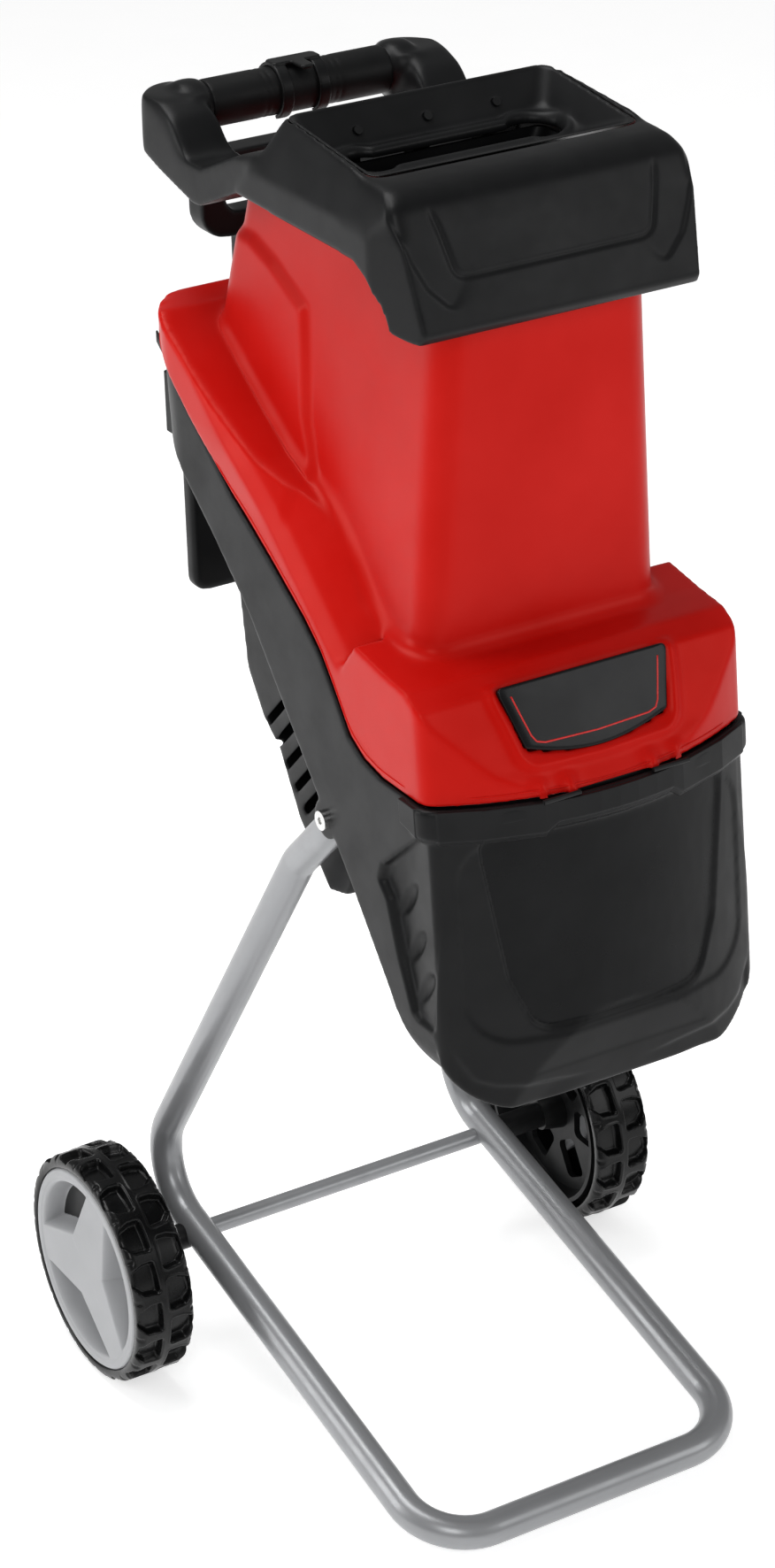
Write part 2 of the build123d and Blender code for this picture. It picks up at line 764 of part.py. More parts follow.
with BuildPart() as knives:
    for side in (-1, 1):
        with BuildSketch(slab(DISC_HIGH)):
            with Locations((side * 47, DISC_S + side * 11.5)):
                Rectangle(60, 22)
            with Locations((side * 33, DISC_S + side * 12), (side * 61, DISC_S + side * 12)):
                Circle(2.5, mode=Mode.SUBTRACT)
        extrude(amount=5)
        with BuildSketch(slab(DISC_HIGH + 2.5)):
            with Locations((side * 33, DISC_S + side * 12), (side * 61, DISC_S + side * 12)):
                Circle(4.5)
        extrude(amount=2.5, mode=Mode.SUBTRACT)
save(knives, "knives")

with BuildPart() as knife_screws:
    for side in (-1, 1):
        for x in (33, 61):
            with BuildSketch(slab(DISC_HIGH + 2.5)):
                with Locations((side * x, DISC_S + side * 12)):
                    Circle(4.5)
            extrude(amount=2.5)
            with BuildSketch(slab(DISC_LOW - 1.5)):
                with Locations((side * x, DISC_S + side * 12)):
                    Circle(2.5)
            extrude(amount=DISC_HIGH - DISC_LOW + 4)
save(knife_screws, "knife_screws")

with BuildPart() as disc_nut:
    with BuildSketch(slab(DISC_HIGH)):
        with Locations((0, DISC_S)):
            RegularPolygon(10.5, 6)
            Circle(6, mode=Mode.SUBTRACT)
    extrude(amount=7)
save(disc_nut, "disc_nut")

# ---------------------------------------------------------------- belt drive
with BuildPart() as disc_pulley:
    with BuildSketch(slab(BELT_LOW)):
        with Locations((0, DISC_S)):
            Circle(DISC_PULLEY_R)
            Circle(6, mode=Mode.SUBTRACT)
            with PolarLocations(25, 5):
                Circle(7, mode=Mode.SUBTRACT)
    extrude(amount=BELT_HIGH - BELT_LOW)
save(disc_pulley, "disc_pulley")

with BuildPart() as pulley_nut:
    with BuildSketch(slab(BELT_LOW)):
        with Locations((0, DISC_S)):
            RegularPolygon(10.5, 6)
            Circle(6, mode=Mode.SUBTRACT)
    extrude(amount=-6)
save(pulley_nut, "pulley_nut")

with BuildPart() as motor_pulley:
    with BuildSketch(slab(BELT_LOW)):
        with Locations((0, MOTOR_S)):
            Circle(MOTOR_PULLEY_R)
            Circle(5, mode=Mode.SUBTRACT)
    extrude(amount=BELT_HIGH - BELT_LOW)
save(motor_pulley, "motor_pulley")


def belt_loop(clearance):
    """Area inside a loop that runs round both pulleys."""
    with BuildPart() as loop:
        with BuildSketch(slab(BELT_LOW + 0.5)):
            with Locations((0, DISC_S)):
                Circle(DISC_PULLEY_R + clearance)
            with Locations((0, MOTOR_S)):
                Circle(MOTOR_PULLEY_R + clearance)
            make_hull()
        extrude(amount=BELT_HIGH - BELT_LOW - 1)
    return loop.part


BELT_OUTSIDE = belt_loop(3.2)
BELT_INSIDE = belt_loop(0.3)

with BuildPart() as drive_belt:
    add(BELT_OUTSIDE)
    add(BELT_INSIDE, mode=Mode.SUBTRACT)
save(drive_belt, "drive_belt")

# ---------------------------------------------------------------- motor
with BuildPart() as motor_shaft:
    add(rings(MOTOR_S, [(5, 0, -151, BELT_HIGH + 2)]))
save(motor_shaft, "motor_shaft")

with BuildPart() as armature_core:
    with BuildSketch(slab(-126)):
        with Locations((0, MOTOR_S)):
            Circle(22.5)
            Circle(5, mode=Mode.SUBTRACT)
            with PolarLocations(19.5, 12):
                Rectangle(7, 3, mode=Mode.SUBTRACT)
    extrude(amount=46)
save(armature_core, "armature_core")

with BuildPart() as commutator:
    with BuildSketch(slab(-140)):
        with Locations((0, MOTOR_S)):
            Circle(12)
            Circle(5, mode=Mode.SUBTRACT)
    extrude(amount=12)
save(commutator, "commutator")

with BuildPart() as cooling_fan:
    add(rings(MOTOR_S, [(9, 5, -78, -70.6), (33, 5, -72, -70.6)]))
    with BuildSketch(slab(-78)):
        with Locations((0, MOTOR_S)):
            with PolarLocations(20, 10):
                Rectangle(23, 1.4, rotation=25)
    extrude(amount=6)
save(cooling_fan, "cooling_fan")

with BuildPart() as motor_bearings:
    add(rings(MOTOR_S, [(11, 5 + FIT, -68, -63), (11, 5 + FIT, -151.5, -146.5)]))
save(motor_bearings, "motor_bearings")

with BuildPart() as motor_stator:
    with BuildSketch(slab(-128)):
        with Locations((0, MOTOR_S)):
            Circle(36)
            Circle(24, mode=Mode.SUBTRACT)
        with Locations((0, MOTOR_S + 29), (0, MOTOR_S - 29)):
            Rectangle(26, 8, mode=Mode.SUBTRACT)
    extrude(amount=48)
save(motor_stator, "motor_stator")

with BuildPart() as motor_frame:
    add(rings(MOTOR_S, [(38, 36, -150, -68), (38, 11, -68, -63)]))
    with BuildSketch(slab(-68)):
        with Locations((0, MOTOR_S + 5)):
            RectangleRounded(116, 76, 10)
        with Locations((0, MOTOR_S)):
            Circle(37, mode=Mode.SUBTRACT)
        with Locations((0, DISC_S)):
            Circle(13, mode=Mode.SUBTRACT)
    extrude(amount=5)
    for x, s in PILLARS:
        with BuildSketch(slab(-63)):
            with Locations((x, s)):
                Circle(5)
        extrude(amount=29)
        with BuildSketch(slab(PLATE_LOW)):
            with Locations((x, s)):
                Circle(2.0)
        extrude(amount=-12, mode=Mode.SUBTRACT)
save(motor_frame, "motor_frame")

with BuildPart() as motor_end_cap:
    add(rings(MOTOR_S, [(38, 11, -151.5, -150), (38, 0, -154, -151.5), (14, 11, -150, -146.5)]))
save(motor_end_cap, "motor_end_cap")

with BuildPart() as brush_holders:
    for side in (-1, 1):
        with BuildSketch(slab(-139)):
            with Locations((side * 24.3, MOTOR_S)):
                Rectangle(22.6, 10)
                Rectangle(22.6, 6, mode=Mode.SUBTRACT)
        extrude(amount=10)
save(brush_holders, "brush_holders")

with BuildPart() as carbon_brushes:
    for side in (-1, 1):
        with BuildSketch(slab(-138)):
            with Locations((side * 21.05, MOTOR_S)):
                Rectangle(18, 6)
        extrude(amount=8)
save(carbon_brushes, "carbon_brushes")

# ---------------------------------------------------------------- cutting and chip path
with BuildPart() as counter_blade:
    with BuildSketch(slab(-3)):
        with Locations((-57, -70)):
            Rectangle(10, 56)
        with Locations((-57, -88), (-57, -52)):
            Circle(1.8, mode=Mode.SUBTRACT)
    extrude(amount=-3.2)
save(counter_blade, "counter_blade")

DEFLECTOR = side_prism([(-47, 541), (-134, 378), (-131.6, 376.6), (-44.6, 539.6)], 104)
with BuildPart() as chute_deflector:
    add(common(DEFLECTOR, lower_solid(WALL)))
save(chute_deflector, "chute_deflector")


# ---------------------------------------------------------------- motor cover
COVER_SIDE = [(112, 652), (94, 560), (88, 515), (70, 488), (50, 472), (28, 434), (-8, 398), (-30, 404), (-60, 470),
              (-50, 540), (100, 690)]


def cover_solid(inset):
    """Cover's outside, or its hollow: a wedge under the body and a can round the motor."""
    with BuildPart() as shape:
        with BuildSketch(across(0)):
            with BuildLine():
                Polyline(*COVER_SIDE, close=True)
            make_face()
            if inset:
                offset(amount=-inset, kind=Kind.INTERSECTION)
        extrude(amount=84 - inset, both=True)
        with BuildSketch(slab(-40)):
            with Locations((0, MOTOR_S)):
                Circle(46 - inset)
        extrude(amount=-(118 - inset))
    return shape.part


COVER_OUTER = cover_solid(0)
COVER_HOLLOW = cover_solid(2.5)
HOUSING_OUTER = lower_solid(0)

with BuildPart() as motor_cover:
    add(COVER_OUTER)
    for x, s, low in COVER_FEET:
        with BuildSketch(slab(low + 4)):
            with Locations((x - (4 if x > 0 else -4), s)):
                Rectangle(24, 18)
        extrude(amount=30)
    add(COVER_HOLLOW, mode=Mode.SUBTRACT)
    add(HOUSING_OUTER, mode=Mode.SUBTRACT)
    # cooling louvres in the two flanks
    for side in (-1, 1):
        for step in range(6):
            with BuildSketch(Plane.YZ.offset(side * 80)):
                with Locations((-6 + 11 * step, 446 + 11 * step)):
                    SlotOverall(44, 4.5, rotation=-45)
            extrude(amount=side * 6, mode=Mode.SUBTRACT)
    for x, s, low in COVER_FEET:
        with BuildSketch(slab(low)):
            with Locations((x, s)):
                Circle(2.0)
        extrude(amount=40, mode=Mode.SUBTRACT)
save(motor_cover, "motor_cover")

with BuildPart() as motor_cover_screws:
    for x, s, low in COVER_FEET:
        with BuildSketch(slab(low + 4)):
            with Locations((x, s)):
                Circle(4.2)
        extrude(amount=-2.6)
        with BuildSketch(slab(low + 4)):
            with Locations((x, s)):
                Circle(2.0)
        extrude(amount=22)
save(motor_cover_screws, "motor_cover_screws")

# ---------------------------------------------------------------- switch box
REAR_PLANE = Plane(origin=(0, SWITCH_REAR_Y, SWITCH_Z), x_dir=(-1, 0, 0), z_dir=(0, 1, 0))   # local x is -X

with BuildPart() as switch_box:
    with BuildSketch(Plane.XY.offset(SWITCH_Z - 24)):
        with Locations((0, SWITCH_REAR_Y - 29)):
            RectangleRounded(2 * SWITCH_X, 58, 6)
    extrude(amount=48)
    with BuildSketch(Plane.XY.offset(SWITCH_Z - 21.5)):
        with Locations((0, SWITCH_REAR_Y - 29)):
            RectangleRounded(2 * SWITCH_X - 5, 53, 4)
    extrude(amount=43, mode=Mode.SUBTRACT)
    add(COVER_OUTER, mode=Mode.SUBTRACT)
    for name, x, radius in BUTTONS:
        with BuildSketch(REAR_PLANE):
            with Locations((-x, 0)):
                Circle(radius + 0.3)
        extrude(amount=-8, mode=Mode.SUBTRACT)
    with BuildSketch(REAR_PLANE):
        with Locations((-INLET_X, 0)):
            Circle(17.5)
    extrude(amount=-8, mode=Mode.SUBTRACT)
save(switch_box, "switch_box")


def make_button(x, radius):
    """Push button with a collar behind the panel."""
    with BuildPart() as button:
        with BuildSketch(REAR_PLANE.offset(-10)):
            with Locations((-x, 0)):
                Circle(radius)
        extrude(amount=13.5)
        with BuildSketch(REAR_PLANE.offset(-6)):
            with Locations((-x, 0)):
                Circle(radius + 1.4)
        extrude(amount=3.2)
        fillet(button.faces().sort_by(Axis.Y)[-1].edges(), radius=0.8)
    return button


for name, x, radius in BUTTONS:
    button = make_button(x, radius)
    save(button, name)

with BuildPart() as inlet_socket:
    for outer, inner, low, high in ((COLLAR_R, 15, 0, COLLAR_H), (17.5, 15, -24, 0), (17.5, 0, -26.5, -24)):
        with BuildSketch(REAR_PLANE.offset(low)):
            with Locations((-INLET_X, 0)):
                Circle(outer)
                if inner:
                    Circle(inner, mode=Mode.SUBTRACT)
        extrude(amount=(high - low))
save(inlet_socket, "inlet_socket")

with BuildPart() as inlet_pins:
    with BuildSketch(REAR_PLANE.offset(-24)):
        with Locations((-INLET_X, 0)):
            with PolarLocations(9, 3, start_angle=90):
                Circle(2)
    extrude(amount=18)
save(inlet_pins, "inlet_pins")

with BuildPart() as switch_body:
    with BuildSketch(slab(-70)):
        with Locations((KEY_X, KEY_S)):
            RectangleRounded(20, 24, 2)
    extrude(amount=48)
    with BuildSketch(slab(-22)):
        with Locations((KEY_X, KEY_S)):
            Rectangle(11, 7)
    extrude(amount=-10, mode=Mode.SUBTRACT)
SWITCH_CLIPPED = common(switch_body.part, lower_solid(WALL))
with BuildPart() as interlock_switch:
    add(SWITCH_CLIPPED)
save(interlock_switch, "interlock_switch")

# ---------------------------------------------------------------- lock screw and hinge
with BuildPart() as lock_washer:
    add(rings(LOCK_S, [(10, 4 + FIT, LOCK_SEAT - 2.3, LOCK_SEAT - 0.3)]))
save(lock_washer, "lock_washer")

with BuildPart() as lock_knob:
    with BuildSketch(slab(LOCK_SEAT - 24)):
        with Locations((0, LOCK_S)):
            Circle(20)
            with PolarLocations(21.5, 8):
                Circle(4.5, mode=Mode.SUBTRACT)
    extrude(amount=21.4)
    add(rings(LOCK_S, [(4, 0, LOCK_SEAT - 3, 2)]))
save(lock_knob, "lock_knob")

with BuildPart() as hinge_pins:
    for x in (-38, 38):
        with BuildSketch(across(x - 12.6)):
            with Locations(HINGE_YZ):
                Circle(1.5)
        extrude(amount=25.2)
save(hinge_pins, "hinge_pins")

# ---------------------------------------------------------------- stand
LEG = [(LEG_TOP_X, -62, 482), (103, -5, 423), (STAND_X, 201, 100.5), (STAND_X, -176, TUBE_R)]


def stand_sweep(outer, inner):
    """The bent tube, from one end under the body round the floor to the other."""
    with BuildPart() as tube:
        with BuildLine() as path:
            FilletPolyline(*LEG, *[(-x, y, z) for x, y, z in reversed(LEG)], radius=42)
        with BuildSketch(Plane(origin=path.line @ 0, z_dir=path.line % 0)):
            Circle(outer)
            if inner:
                Circle(inner, mode=Mode.SUBTRACT)
        sweep()
    return tube.part


TUBE_CORE = stand_sweep(TUBE_R, 0)

with BuildPart() as stand_tube:
    add(stand_sweep(TUBE_R, TUBE_R - TUBE_WALL))
    with BuildSketch(across(-150)):
        with Locations((AXLE_Y, AXLE_Z)):
            Circle(AXLE_R)
    extrude(amount=300, mode=Mode.SUBTRACT)
    for side in (-1, 1):
        with BuildSketch(across(side * (LEG_TOP_X + 3))):
            with Locations(LEG_SCREW_YZ):
                Circle(3.0)
        extrude(amount=side * 12, mode=Mode.SUBTRACT)
save(stand_tube, "stand_tube")

with BuildPart() as cross_brace:
    with BuildSketch(across(-STAND_X)):
        with Locations((AXLE_Y, AXLE_Z)):
            Circle(6)
            Circle(AXLE_R, mode=Mode.SUBTRACT)
    extrude(amount=2 * STAND_X)
    add(TUBE_CORE, mode=Mode.SUBTRACT)
save(cross_brace, "cross_brace")

with BuildPart() as stand_screws:
    for side in (-1, 1):
        with BuildSketch(across(side * HALF_WIDTH)):
            with Locations(LEG_SCREW_YZ):
                Circle(6.2)
        extrude(amount=side * 3.4)
        with BuildSketch(across(side * (HALF_WIDTH + 3.4))):
            with Locations(LEG_SCREW_YZ):
                RegularPolygon(2.6, 6)
        extrude(amount=-side * 2, mode=Mode.SUBTRACT)
        with BuildSketch(across(side * (LEG_TOP_X + 4))):
            with Locations(LEG_SCREW_YZ):
                Circle(3.0)
        extrude(amount=side * (HALF_WIDTH - LEG_TOP_X - 4))
save(stand_screws, "stand_screws")

with BuildPart() as axle_bolts:
    for side in (-1, 1):
        with BuildSketch(across(side * 60)):
            with Locations((AXLE_Y, AXLE_Z)):
                Circle(AXLE_R)
        extrude(amount=side * 130)
        with BuildSketch(across(side * 190)):
            with Locations((AXLE_Y, AXLE_Z)):
                RegularPolygon(7.5, 6)
        extrude(amount=side * 6)
save(axle_bolts, "axle_bolts")

with BuildPart() as wheel_spacers:
    for side in (-1, 1):
        with BuildSketch(across(side * (STAND_X + 4))):
            with Locations((AXLE_Y, AXLE_Z)):
                Circle(9)
                Circle(AXLE_R, mode=Mode.SUBTRACT)
        extrude(amount=side * (WHEEL_IN_X - 0.3 - STAND_X - 4))
    add(TUBE_CORE, mode=Mode.SUBTRACT)
save(wheel_spacers, "wheel_spacers")


# ---------------------------------------------------------------- wheels
def turned(side, outline):
    """Solid turned about the axle; outline points are (distance out along X, radius)."""
    with BuildPart() as ring:
        with BuildSketch(Plane(origin=(0, AXLE_Y, AXLE_Z), x_dir=(1, 0, 0), z_dir=(0, -1, 0))):
            with BuildLine():
                Polyline(*[(side * x, radius) for x, radius in outline], close=True)
            make_face()
        revolve(axis=Axis((0, AXLE_Y, AXLE_Z), (1, 0, 0)))
    return ring.part


CAP_X = 199.6                   # inner face of the hub cap
TYRE = [(161, 68), (161, 74), (166, 79.2), (171, WHEEL_R), (193, WHEEL_R), (199, 79), (WHEEL_OUT_X, 74),
        (WHEEL_OUT_X, 71.8), (CAP_X, 71.8), (CAP_X, 66), (164, 66), (164, 68)]
RIM = [(WHEEL_IN_X, AXLE_R + FIT), (189.7, AXLE_R + FIT), (189.7, 12), (181, 13), (180, 60), (198, 63), (198, 66),
       (162, 66), (162, 63), (176, 60), (176, 14), (WHEEL_IN_X, 11)]

for side, word in ((-1, "left"), (1, "right")):
    tyre_ring = turned(side, TYRE)
    rim_ring = turned(side, RIM)
    with BuildPart() as tyre:
        add(tyre_ring)
    save(tyre, f"tyre_{word}")

    with BuildPart() as wheel_rim:
        add(rim_ring)
        with BuildSketch(across(side * 170)):
            with Locations((AXLE_Y, AXLE_Z)):
                with PolarLocations(37, 6):
                    RectangleRounded(28, 22, 5)
        extrude(amount=side * 20, mode=Mode.SUBTRACT)
    save(wheel_rim, f"wheel_rim_{word}")

    with BuildPart() as hub_cap:
        with BuildSketch(across(side * CAP_X)):
            with Locations((AXLE_Y, AXLE_Z)):
                Circle(RIM_R + 1)
                Circle(54, mode=Mode.SUBTRACT)
                Circle(20)
                with PolarLocations(37, 3, start_angle=90):
                    Rectangle(40, 17)
        extrude(amount=side * (WHEEL_OUT_X - CAP_X))
    save(hub_cap, f"hub_cap_{word}")

# ---------------------------------------------------------------- plunger and its holder
PLUNGER_PLANE = Plane(origin=(0, PLUNGER_Y, 0), x_dir=(1, 0, 0), z_dir=(0, -1, 0))   # local x is X, local y is Z

with BuildPart() as plunger:
    with BuildSketch(PLUNGER_PLANE):
        with Locations((0, 597)):
            RectangleRounded(120, 158, 10)
        with Locations((0, 673.3)):
            Rectangle(134, 6)
        with Locations((0, 715)):
            Rectangle(34, 90)
    extrude(amount=PLUNGER_THICK / 2, both=True)
    with BuildSketch(PLUNGER_PLANE):
        with Locations((0, 784)):
            RectangleRounded(88, 56, 18)
        with Locations((0, 785)):
            RectangleRounded(52, 26, 10, mode=Mode.SUBTRACT)
    extrude(amount=9.5, both=True)
save(plunger, "plunger")

with BuildPart() as plunger_holder:
    with BuildSketch(Plane.XY.offset(630)):
        with Locations((0, PLUNGER_Y)):
            RectangleRounded(136, 19.6, 3)
            RectangleRounded(121.6, 13.4, 2, mode=Mode.SUBTRACT)
    extrude(amount=40)
    for x in (-48, 44):
        with BuildSketch(across(x)):
            with BuildLine():
                Polyline((150, 724), (162, 724), (196, 668), (196, 632), (162, 696), (150, 696), close=True)
            make_face()
        extrude(amount=4)
    with BuildSketch(Plane.XZ.offset(-162)):
        with Locations((0, 710)):
            RectangleRounded(116, 28, 6)
    extrude(amount=20)
    add(HOUSING_OUTER, mode=Mode.SUBTRACT)
    with BuildSketch(Plane.XZ.offset(-170)):
        with Locations((-53, 710), (53, 710)):
            Circle(2)
    extrude(amount=60, mode=Mode.SUBTRACT)
save(plunger_holder, "plunger_holder")

with BuildPart() as holder_screws:
    with BuildSketch(Plane.XZ.offset(-162)):
        with Locations((-53, 710), (53, 710)):
            Circle(4.2)
    extrude(amount=-2.6)
    with BuildSketch(Plane.XZ.offset(-162)):
        with Locations((-53, 710), (53, 710)):
            Circle(2)
    extrude(amount=14)
save(holder_screws, "holder_screws")
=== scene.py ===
"""Looks for the garden shredder: softened shells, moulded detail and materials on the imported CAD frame."""
import json
import math

import bmesh
import bpy
import numpy as np
from mathutils import Matrix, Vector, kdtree

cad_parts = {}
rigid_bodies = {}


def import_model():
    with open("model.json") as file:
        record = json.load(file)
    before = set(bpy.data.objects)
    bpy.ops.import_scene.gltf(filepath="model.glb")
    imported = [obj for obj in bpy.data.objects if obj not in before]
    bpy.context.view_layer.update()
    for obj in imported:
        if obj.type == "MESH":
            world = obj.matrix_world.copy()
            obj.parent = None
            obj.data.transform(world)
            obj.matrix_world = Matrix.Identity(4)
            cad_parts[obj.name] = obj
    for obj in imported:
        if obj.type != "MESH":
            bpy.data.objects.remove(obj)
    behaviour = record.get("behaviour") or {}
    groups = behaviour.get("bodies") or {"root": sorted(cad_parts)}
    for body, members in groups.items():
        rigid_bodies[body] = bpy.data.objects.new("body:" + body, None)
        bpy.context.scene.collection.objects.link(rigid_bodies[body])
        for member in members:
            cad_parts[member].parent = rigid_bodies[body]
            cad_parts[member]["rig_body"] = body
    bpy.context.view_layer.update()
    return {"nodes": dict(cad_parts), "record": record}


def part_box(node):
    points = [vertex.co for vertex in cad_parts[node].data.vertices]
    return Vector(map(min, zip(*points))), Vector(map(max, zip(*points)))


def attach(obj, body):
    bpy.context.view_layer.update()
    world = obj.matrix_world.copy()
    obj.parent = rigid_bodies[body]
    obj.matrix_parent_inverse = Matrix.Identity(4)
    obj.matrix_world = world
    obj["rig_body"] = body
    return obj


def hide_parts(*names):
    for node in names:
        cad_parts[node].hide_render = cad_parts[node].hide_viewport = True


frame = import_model()

MM = 0.001

# driving sizes of the CAD, in mm
HALF_WIDTH = 113.0
FRONT_ARC_R = 216.0
FRONT_Y = -216.4                # middle of the front face, at FRONT_Z
FRONT_Z = 390.0
FRONT_LEAN = 0.0845
FRONT_SEAM_Z = 532.0
SEAM = [(190, 767), (158, 741), (105, 700), (44, 652), (2, 627), (-37, 602), (-57, 586), (-76, 562),
        (-88, 545), (-104, 536), (-124, FRONT_SEAM_Z), (-240, FRONT_SEAM_Z)]
HINGE_X = 38.0
HOOD_HALF = 105.5
HOOD_FOOT_Z = 803.0
SLOT_Y = -34.0
BADGE_ORIGIN = np.array([0.0, -170.0, 570.0])
BADGE_OUT = np.array([0.0, -0.904, 0.428])
BADGE_UP = np.array([0.0, 0.428, 0.904])
AXLE_YZ = (135.0, 80.0)
TYRE_R = 80.0
TYRE_BORE_R = 70.9
CAP_FACE_X = 203.0
CAP_R = 70.6

# chosen for the looks
SMOOTHING = 0.6                 # part of the way to its neighbours' mean that a point goes in one round
SHELL_VOXEL = 1.2
POCKETS = 17                    # in each of a tyre's two rows
POCKET_DEPTH = 6.2
POCKET_RIM = 0.35
WINDOW_DEPTH = 13.5

OUTWARD = np.array([1.0, 0.0, 0.0])
FORWARD = np.array([0.0, -1.0, 0.0])
UPWARD = np.array([0.0, 0.0, 1.0])


# ---------------------------------------------------------------- small maths
def ease(d, width):
    """0 to 1 as d goes from -width/2 to width/2."""
    t = np.clip(d / width + 0.5, 0, 1)
    return t * t * (3 - 2 * t)


def to_line(p, points, closed=False):
    """Distance of each 2-D point to a broken line."""
    a = np.array(points, float)
    b = np.roll(a, -1, 0) if closed else a[1:]
    a = a if closed else a[:-1]
    best = np.full(len(p), 1e9)
    for u, v in zip(a, b):
        d = v - u
        t = np.clip(((p - u) @ d) / (d @ d), 0, 1)
        best = np.minimum(best, np.linalg.norm(p - u - t[:, None] * d, axis=1))
    return best


def inside(p, points):
    """Signed distance of each 2-D point to a polygon, positive inside it."""
    a = np.array(points, float)
    b = np.roll(a, -1, 0)
    odd = np.zeros(len(p), bool)
    for u, v in zip(a, b):
        over = (u[1] > p[:, 1]) != (v[1] > p[:, 1])
        rise = v[1] - u[1] if abs(v[1] - u[1]) > 1e-9 else 1e-9
        cross = u[0] + (p[:, 1] - u[1]) * (v[0] - u[0]) / rise
        odd ^= over & (p[:, 0] < cross)
    d = to_line(p, points, closed=True)
    return np.where(odd, d, -d)


def rounded(points, radius, steps=6):
    """A polygon with its corners rounded."""
    pts = np.array(points, float)
    out = []
    for i, p in enumerate(pts):
        u = pts[i - 1] - p
        v = pts[(i + 1) % len(pts)] - p
        lu, lv = np.linalg.norm(u), np.linalg.norm(v)
        u, v = u / lu, v / lv
        half = math.acos(float(np.clip(u @ v, -1, 1))) / 2
        cut = min(radius / max(math.tan(half), 1e-3), lu * 0.45, lv * 0.45)
        a, b = p + u * cut, p + v * cut
        for k in range(steps + 1):
            t = k / steps
            out.append((1 - t) ** 2 * a + 2 * t * (1 - t) * p + t * t * b)
    return np.array(out)


def loft_faces(rows, n):
    """Faces of a skin over rows of n points each, with its two ends closed."""
    faces = [(i * n + k, i * n + (k + 1) % n, (i + 1) * n + (k + 1) % n, (i + 1) * n + k)
             for i in range(rows - 1) for k in range(n)]
    faces.append(list(range(n))[::-1])
    faces.append([(rows - 1) * n + k for k in range(n)])
    return faces


def unit(vectors):
    """Rows of vectors brought to length 1."""
    return vectors / np.linalg.norm(vectors, axis=1, keepdims=True)


def sideways(path):
    """Directions square to a path seen from above, to the right of its run."""
    ahead = unit(np.gradient(path[:, :2], axis=0))
    return np.stack([ahead[:, 1], -ahead[:, 0]], 1)


def mesh_object(name, co, faces, body, slot, looks=None):
    """A smooth-shaded piece from mm coordinates that rides a body, with its slot's own look or others."""
    mesh = bpy.data.meshes.new(name)
    mesh.from_pydata((np.asarray(co) * MM).tolist(), [], [list(map(int, f)) for f in faces])
    mesh.polygons.foreach_set("use_smooth", [True] * len(mesh.polygons))
    mesh.update()
    for look in looks or [slot]:
        mesh.materials.append(MATERIALS[look])
    obj = bpy.data.objects.new(name, mesh)
    bpy.context.scene.collection.objects.link(obj)
    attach(obj, body)
    return obj


